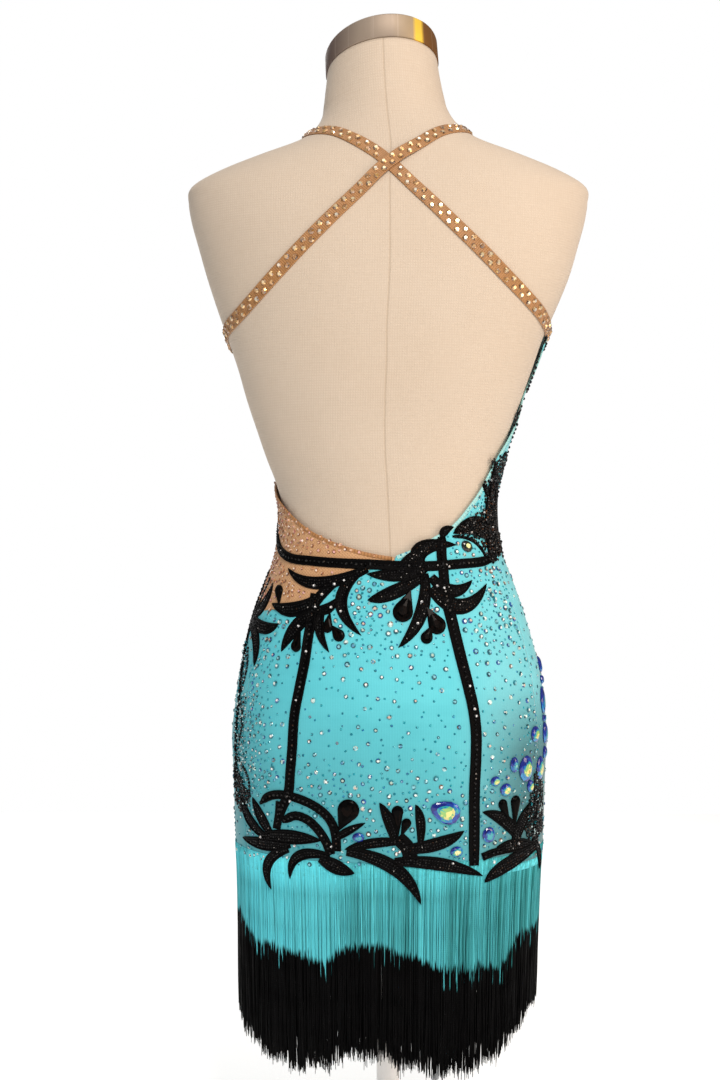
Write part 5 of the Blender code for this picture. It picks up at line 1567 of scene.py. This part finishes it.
# ------------------------------------------------------------------ stones and crystals
# Colours of the large stones, dark to pale: their own blue and aurora tones, and the pale yellow and green ones
# partly a painted glint. The same holds for JET and PALE of the waist stone.
BLUE = "#0f1f86 #16309c #12207c #1f58b8 #2f8cc8"
BODIES = {"blue stone": "#0c1664 #142c8c #1a489c #1f70ac #2c9ca8",
          "pale stone": "#0e1d7c #173fa0 #1c78b4 #2aa4a0 #74b878 #d2d084"}
TOPS = {"blue stone": "#2060a8 #38a4ac #8cccb4",
        "pale stone": "#3cb4a8 #90c470 #ece48c #c8a064",
        "hem_yellow": "#d8dc90 #f6efb4 #e9c98a",
        "waist": "#c8d488 #f0f6b0"}
JET, PALE = tones("#050506 #0b0b0d #111114")[0], tones("#08090b #20281c #0c1114 #3c4626")[0]


class DRESS_OT_stones(bpy.types.Operator):
    """Sets the large cut stones of the hip and the hem"""
    bl_idname = "dress.stones"
    bl_label = "Large stones"

    def execute(self, context):
        rng = np.random.default_rng(5)
        tree = ground(CLOTHS)
        blue = [rgba(settings("dress_beads").rim)] + tones(BLUE)[0]
        glass = cut_glass("Aurora stone", 0.1, 0.0, 0.5, 0.4)
        small = Gather()
        for single, rows in ((True, STONES), (False, SMALL_STONES)):
            for name, s, z, width, height, turn, look in rows:
                made = Gather() if single else small
                outline = ellipse(width, height, turn, 11, 0.08)
                if name == "hem_pear":
                    outline = ellipse(width, height, 180 + turn, 13, -0.3)
                base = float(np.max(height_at(tree, s + outline[:, 0], z + outline[:, 1]))) + 0.25
                rim, body = (JET, PALE) if name == "waist" else (blue, tones(BODIES[look])[0])
                gem(made, s, z, outline, base, 3.4, rng, rim, body, tones(TOPS.get(name, TOPS[look]))[0])
                if single:
                    made.make("cut_" + name, glass, look.replace(" ", "_"), ("stone_" + name,), smooth=False)
        small.make("cut_small", glass, "blue_stone", smooth=False)
        return {"FINISHED"}


ON_CLOTH = 2.0         # a surface that stands this far off the form is cloth
CRYSTAL_SIZES = ([340, 420, 480, 560, 600, 650, 690], [5.8, 6.0, 5.6, 6.4, 6.8, 6.2, 5.4])      # by height


def back_gap(s, z):
    """How far apart the back's crystals lie: by height, by side and along the scoop."""
    gap = np.interp(z, [340, 372, 405, 430, 452, 500, 535, 560, 585, 640, 700],
                    [4.6, 5.0, 6.4, 8.4, 11, 17, 14, 8.6, 6.2, 5.2, 4.8])
    left = np.interp(s, [98, 120, 142, 158, 172], [30.0, 7.6, 5.2, 4.0, 3.6])
    left = left + np.interp(s, [98, 110, 150], [0, 5.0, 0.0]) * np.interp(z, [430, 470, 520, 560], [0, 1, 1, 0])
    right = np.interp(-s, [84, 100, 130, 160, 180], [30.0, 13.0, 13.0, 8.5, 5.5])
    right = np.where(z < 500, right - 2.0, right)
    edge = np.where(s < -4, smooth_edge(SCOOP_RIGHT)(np.clip(to_q(s, z), -0.75, -0.04)) - z, 99.0)
    edge = np.interp(edge, [2.0, 8.0, 11.0], [4.8, 5.0, 30.0])
    return np.minimum(np.minimum(gap, edge), np.minimum(left, right))


def front_gap(s, z):
    side = np.minimum(s, 2 * (back_length(z) + front_length(z)) - s)
    gap = np.interp(z, [340, 400, 470, 620, 660, 900], [7.5, 11.0, 19.0, 17.0, 13.0, 12.0])
    return np.minimum(gap, np.interp(side, [150, 200, 300], [8.0, 11.0, 30.0]))


def mesh_gap(s, z):
    edge = smooth_edge(MESH_HIGH)(np.clip(to_q(s, z), 0, 1.4)) - z
    return np.minimum(np.interp(edge, [2, 9, 24], [4.6, 4.8, 5.0]), np.interp(s, [70, 110, 150], [5.0, 4.8, 4.4]))


class DRESS_OT_crystals(bpy.types.Operator):
    """Strews flat-backed crystals over the turquoise cloth and the nude mesh"""
    bl_idname = "dress.crystals"
    bl_label = "Strewn crystals"

    def execute(self, context):
        rng = np.random.default_rng(71)
        beadwork = ground([o.name for o in bpy.data.objects if o.name.endswith("_beads") or o.name.startswith(
            ("hem_beads", "cut_", "side_beads", "side_chain", "edge_beads", "strap_under_elastic",
             "strap_over_elastic"))])
        large, small = crystal_form(8, 0.5, 0.55, 0.2), crystal_form(6, 0.5, 0.55)
        # Crowns mostly dark and tables pale: painted shade round the rim and a painted glint on the table, over
        # the crystals' own clear and aurora colours.
        crown = tones("#1c5f6c #2c8292 #22539a #58acb8 #b4d8d6 #7e6a5e #0f3844",
                      0.28, 0.2, 0.1, 0.12, 0.12, 0.06, 0.12)
        table = ([rgba(settings("dress_beads").clear)] + tones("#f4f8f6 #d8c0ae #86c9d8 #b4d0c6 #5f9fc4")[0],
                 (0.2, 0.12, 0.1, 0.26, 0.2, 0.12))
        teal = tones("#1c8797 #27a3b3 #187489 #4fbcc8 #2b78b4", 0.34, 0.3, 0.16, 0.12, 0.08)
        glass = cut_glass("Clear crystal", 0.12, 0.0, 0.35, 0.4)
        for name, panels, room, gap, tries in (
                ("crystals_back", ("skirt_back_cloth",), ((-182, 182), (344, 764)), back_gap, 26000),
                ("crystals_front", ("skirt_front_cloth", "bodice_cloth"), ((120, 860), (344, 975)),
                 front_gap, 14000)):
            cloth = ground(panels)
            s, z = strewn(rng, room, gap, tries)
            base = height_at(cloth, s, z, 0.0)
            keep = base > ON_CLOTH
            for ds, dz in ((3, 0), (-3, 0), (0, 3), (0, -3)):
                keep &= height_at(cloth, s + ds, z + dz, 0.0) > ON_CLOTH
            s, z, base = only(keep, s, z, base)
            high = np.interp(z, *CRYSTAL_SIZES)
            size = np.where(rng.random(len(s)) < 0.7, rng.uniform(0.7, 1.0, len(s)) * high,
                            rng.uniform(2.4, 3.2, len(s)))
            size = np.where((s > 140) | (s < -160), np.minimum(size, rng.uniform(3.0, 5.2, len(s))), size)
            s, z, base, size = only(free(beadwork, s, z, size), s, z, base, size)
            made = Gather()
            big = size > 3
            for form, which, sides, tops in ((large, big, crown, table), (small, ~big, teal, teal)):
                sprinkle(made, form, *only(which, s, z, base, size), rng, sides, tops, 0.1)
            if name == "crystals_back":
                ts, tz = strewn(rng, room, lambda s, z: 0.8 * np.clip(gap(s, z), 4.6, 99), tries // 2)
                near = KDTree(len(s))
                for k in range(len(s)):
                    near.insert((s[k], z[k], 0), k)
                near.balance()
                apart = np.array([(found := near.find((x, y, 0)))[2] - size[found[1]] / 2 for x, y in zip(ts, tz)])
                ts, tz = only(apart > 1.5, ts, tz)
                tb = height_at(cloth, ts, tz, 0.0)
                ts, tz, tb = only((tb > ON_CLOTH) & free(beadwork, ts, tz, 2.6), ts, tz, tb)
                sprinkle(made, small, ts, tz, tb, rng.uniform(2.4, 3.3, len(ts)), rng, teal, teal, 0.1)
            made.make(name, glass, "pale_stone", smooth=False)

        cloth = ground(("mesh_cloth",))
        s, z = strewn(rng, ((0, 235), (600, 778)), mesh_gap, 12000)
        base = height_at(cloth, s, z, 0.0)
        s, z, base = only(base > ON_CLOTH, s, z, base)
        size = rng.uniform(3.6, 5.4, len(s))
        made = Gather()
        # Rose crystals: deeper crowns and pale tables, a painted glint over their own rose and peach.
        sprinkle(made, small, *only(free(beadwork, s, z, size), s, z, base, size), rng,
                 tones("#8c5a3a #b88256 #a0685a #dcb496", 0.35, 0.3, 0.2, 0.15),
                 tones("#fbe6d4 #eec4a4 #eab6b4 #d09c74", 0.35, 0.3, 0.2, 0.15), 0.15)
        made.make("crystals_mesh", cut_glass("Rose crystal", 0.12, 0.0, 0.35, 0.4), "pale_stone", smooth=False)
        return {"FINISHED"}


# ------------------------------------------------------------------ fringe
# Where the dye turns black, by q.
DYE_LINE = [(-2.0, 246), (-1.6, 250), (-1.2, 260), (-0.95, 272), (-0.75, 264), (-0.675, 266), (-0.628, 256),
            (-0.57, 239), (-0.538, 233), (-0.455, 238), (-0.365, 235), (-0.27, 239), (-0.195, 242),
            (-0.13, 251), (-0.045, 255), (0.01, 261), (0.142, 263), (0.247, 258), (0.312, 246), (0.41, 249),
            (0.465, 251), (0.555, 254), (0.62, 257), (0.688, 256), (0.728, 262), (0.843, 279), (1.0, 276),
            (1.3, 262), (1.65, 250), (2.0, 246)]
STRIP_HIGH = 8.0
# Each strand's rows as shares of its length, and how far each is drawn out over the hem to which it is sewn.
STRAND_ROWS = (0, 0.055, 0.17, 0.34, 0.52, 0.68, 0.84, 1.0)
OVER_HEM = (1, 1, 0.3, 0, 0, 0, 0, 0)
# How pale the strands are, by q: partly the dye's own variation and partly painted light and shade, palest left of
# the centre back and darkest at the wearer's right side.
FRINGE_TONE = [(-2, 0.4), (-1, 0.05), (-0.75, 0.08), (-0.45, 0.24), (-0.15, 0.36), (0.1, 0.32), (0.35, 0.68),
               (0.6, 0.98), (0.85, 0.62), (1.2, 0.5), (2, 0.4)]


class DRESS_OT_fringe(bpy.types.Operator):
    """Hangs the dip-dyed fringe from its strip under the hem"""
    bl_idname = "dress.fringe"
    bl_label = "Fringe"

    def execute(self, context):
        fringe = settings("dress_fringe")
        dyed = yarn()
        rng = np.random.default_rng(404)
        top = HEM_Z - SEAM_GAP
        q, z = np.meshgrid(np.linspace(-2, 2, 321)[:-1], np.linspace(top - STRIP_HIGH, top, 4), indexing="ij")
        strip, hanging = Gather(), Gather()
        shell(strip, q, z, np.full(q.shape, CLOTH_GAP), np.full(q.shape, CLOTH_GAP + 1.3), wrap=True)
        strip.values = {"dye": [np.zeros(strip.count)], "shade": [np.tile(rng.uniform(0.3, 1, q.size), 2)]}
        strip.make("fringe_strip", dyed, "fringe_yarn")

        n, share = fringe.strands, np.array(STRAND_ROWS)
        rows = len(share)
        q = -2 + 4 * (np.arange(n) + rng.uniform(-0.45, 0.45, n)) / n
        layer = rng.integers(0, 3, n)
        out = CLOTH_GAP + 0.35 + 0.45 * layer
        out = out[:, None] + (OUTSIDE + 0.35 - out)[:, None] * np.array(OVER_HEM)
        head = HEM_Z + np.interp(np.abs(q), [0.3, 0.9, 1.3], [8.5, 12.0, 8.5])
        end = smooth_edge(FRINGE_TIPS)(q) + rng.normal(0, 4.2, n) + 3.0 * np.sin(q * 37) + 2.0 * (2 - layer)
        z = head[:, None] + (end - head)[:, None] * share[None]
        qq = np.broadcast_to(q[:, None], z.shape)
        kept_z = np.maximum(z, FRINGE_FREE_Z)
        centre = place(qq, kept_z, out)
        away = place(qq, kept_z, out + 1) - centre
        round_way = np.stack([-away[..., 1], away[..., 0], 0 * z], -1)
        sway = rng.normal(0, 2.2, n)[:, None] * np.sin(share * 2.6 + rng.uniform(0, 1.2, n)[:, None]) * share
        sway += rng.normal(0, 0.5, n)[:, None] * np.sin(share * 14 + rng.uniform(0, 6, n)[:, None]) * share
        deep = np.array([-4.0, -1.2, 1.2])[layer][:, None] * share + rng.normal(0, 0.5, n)[:, None] * share
        centre = centre + round_way * sway[..., None] + away * deep[..., None]
        pull = np.interp(q, [0.3, 0.8, 1.3, 1.8], [0.055, 0.03, 0.03, 0.055])
        centre[..., :2] *= (1 - pull[:, None] * share ** 0.8)[..., None]
        centre[..., 2] = z
        width = fringe.strand / MM / 2 * rng.uniform(0.8, 1.2, n)
        taper = np.interp(share, [0, 0.06, 0.5, 0.9, 1], [0.6, 0.95, 1.15, 1.2, 0.55])
        spin = rng.uniform(0, 2 * math.pi, n)[:, None] + share[None] * 3
        r = (width[:, None] * taper[None])[..., None]
        turns = [spin + k * 2 * math.pi / 3 for k in range(3)]
        points = np.stack([centre + np.stack([np.cos(a), np.sin(a), 0 * a], -1) * r for a in turns], axis=2)
        at = np.arange(n * rows * 3).reshape(n, rows, 3)
        nxt = np.roll(at, -1, axis=2)
        sides = np.stack([at[:, :-1], nxt[:, :-1], nxt[:, 1:], at[:, 1:]], -1).reshape(-1, 4)
        line = smooth_edge(DYE_LINE)(q)
        streak = np.where(rng.random(n) < 0.07, -rng.uniform(8, 22, n), rng.normal(0, 2.6, n))
        patch = 0.5 + 0.5 * np.sin(q * 23 + 1.3 * np.sin(q * 51))
        shade = np.clip(np.interp(q, *np.array(FRINGE_TONE).T) + 0.2 * patch + rng.normal(0, 0.2, n), 0, 1)
        hanging.take(points.reshape(-1, 3), [sides, at[:, 0][:, ::-1], at[:, -1]],
                     dye=np.repeat((line + streak) * MM, rows * 3), shade=np.repeat(shade, rows * 3))
        hanging.make("fringe_strands", dyed, "fringe_yarn", ("fringe",))
        return {"FINISHED"}


# ------------------------------------------------------------------ the stage
CAMERA_X = 0.0308
# Soft lights: name, watts, width, place, the point each looks at, and colour.
LIGHTS = [("key_light", 42, 0.8, (-0.55, 2.0, 2.3), (0, 0, 0.85), "#fff3e8"),
          ("side_light", 14, 0.9, (-1.9, 0.9, 1.0), (0, 0, 0.6), "#ffe2c6"),
          ("fill_light", 2.6, 1.2, (1.6, 1.8, 1.0), (0, 0, 0.7), "#ffeadc"),
          ("back_light", 16, 1.4, (0.6, -2.1, 1.7), (0, 0, 0.8), "#ffffff"),
          ("top_light", 6, 1.2, (0.1, 0.3, 2.6), (0, 0, 0.9), "#ffffff")]


class DRESS_OT_stage(bpy.types.Operator):
    """Lays the pale floor, hangs the soft lights and stands the camera behind the dress"""
    bl_idname = "dress.stage"
    bl_label = "Stage"

    def execute(self, context):
        renew("stage_floor", "dress_camera", *(row[0] for row in LIGHTS))
        deselect()
        stage, link = settings("dress_stage"), context.scene.collection.objects.link
        bpy.ops.mesh.primitive_plane_add(size=4.0, location=(0, 0, -0.0005))
        floor = bpy.context.object
        floor.name = "stage_floor"
        bpy.ops.object.transform_apply(location=True)
        look, tree = material("Pale paper")
        grain = noise(tree, at_object(tree), 3.0, 4.0)
        floor.data.materials.append(shaded(look, Base_Color=mix(tree, grain, linear("#f4f4f3"), rgba(stage.floor)),
                                           Roughness=0.8, Emission_Color=linear("#ffffff"), Emission_Strength=0.5))
        for name, energy, size, at, aim, tint in LIGHTS:
            data = bpy.data.lights.new(name, "AREA")
            data.energy, data.size, data.color = energy, size, linear(tint)[:3]
            lamp = bpy.data.objects.new(name, data)
            link(lamp)
            lamp.location = at
            lamp.rotation_euler = (Vector(aim) - Vector(at)).to_track_quat("-Z", "Y").to_euler()
        world = context.scene.world or bpy.data.worlds.new("Studio")
        context.scene.world = world
        world.use_nodes = True
        air = world.node_tree
        air.nodes.clear()
        seen = add(air, "ShaderNodeLightPath").outputs["Is Camera Ray"]
        dim = scaled(air, seen, 1 - stage.air, stage.air)
        white = add(air, "ShaderNodeBackground", {"Color": linear("#ffffff"), "Strength": dim}).outputs[0]
        add(air, "ShaderNodeOutputWorld", {"Surface": white})
        context.scene.view_settings.view_transform = "Standard"
        data = bpy.data.cameras.new("dress_camera")
        data.sensor_fit, data.sensor_height, data.sensor_width, data.lens = "VERTICAL", 36.0, 24.0, 48.48
        camera = bpy.data.objects.new("dress_camera", data)
        link(camera)
        camera.location = (CAMERA_X, stage.distance, stage.height)
        camera.rotation_euler = (math.radians(90), 0, math.radians(180))
        context.scene.camera = camera
        return {"FINISHED"}


# ------------------------------------------------------------------ the add-on
OPERATORS = (DRESS_OT_form, DRESS_OT_cloth, DRESS_OT_straps, DRESS_OT_beadwork, DRESS_OT_stones, DRESS_OT_crystals,
             DRESS_OT_fringe, DRESS_OT_stage)


class DRESS_PT_panel(bpy.types.Panel):
    """Sizes, colours and steps of the dress"""
    bl_idname = "DRESS_PT_panel"
    bl_label = "Salsa Dance Dress"
    bl_space_type = "VIEW_3D"
    bl_region_type = "UI"
    bl_category = "Dress"

    def draw(self, context):
        for name, group in SETTINGS:
            box = self.layout.box()
            box.label(text=group.__doc__)
            for key in group.__annotations__:
                box.prop(settings(name), key)
        for step in OPERATORS:
            self.layout.operator(step.bl_idname)


def register():
    for name, group in SETTINGS:
        bpy.utils.register_class(group)
        setattr(bpy.types.Scene, name, bpy.props.PointerProperty(type=group))
    for kind in (*OPERATORS, DRESS_PT_panel):
        bpy.utils.register_class(kind)


def unregister():
    for kind in (DRESS_PT_panel, *reversed(OPERATORS)):
        bpy.utils.unregister_class(kind)
    for name, group in reversed(SETTINGS):
        delattr(bpy.types.Scene, name)
        bpy.utils.unregister_class(group)


def main():
    register()
    for step in OPERATORS:
        group, name = step.bl_idname.split(".")
        if "FINISHED" not in getattr(getattr(bpy.ops, group), name)():
            raise RuntimeError(step.bl_label + " did not finish")


if __name__ == "__main__":
    main()
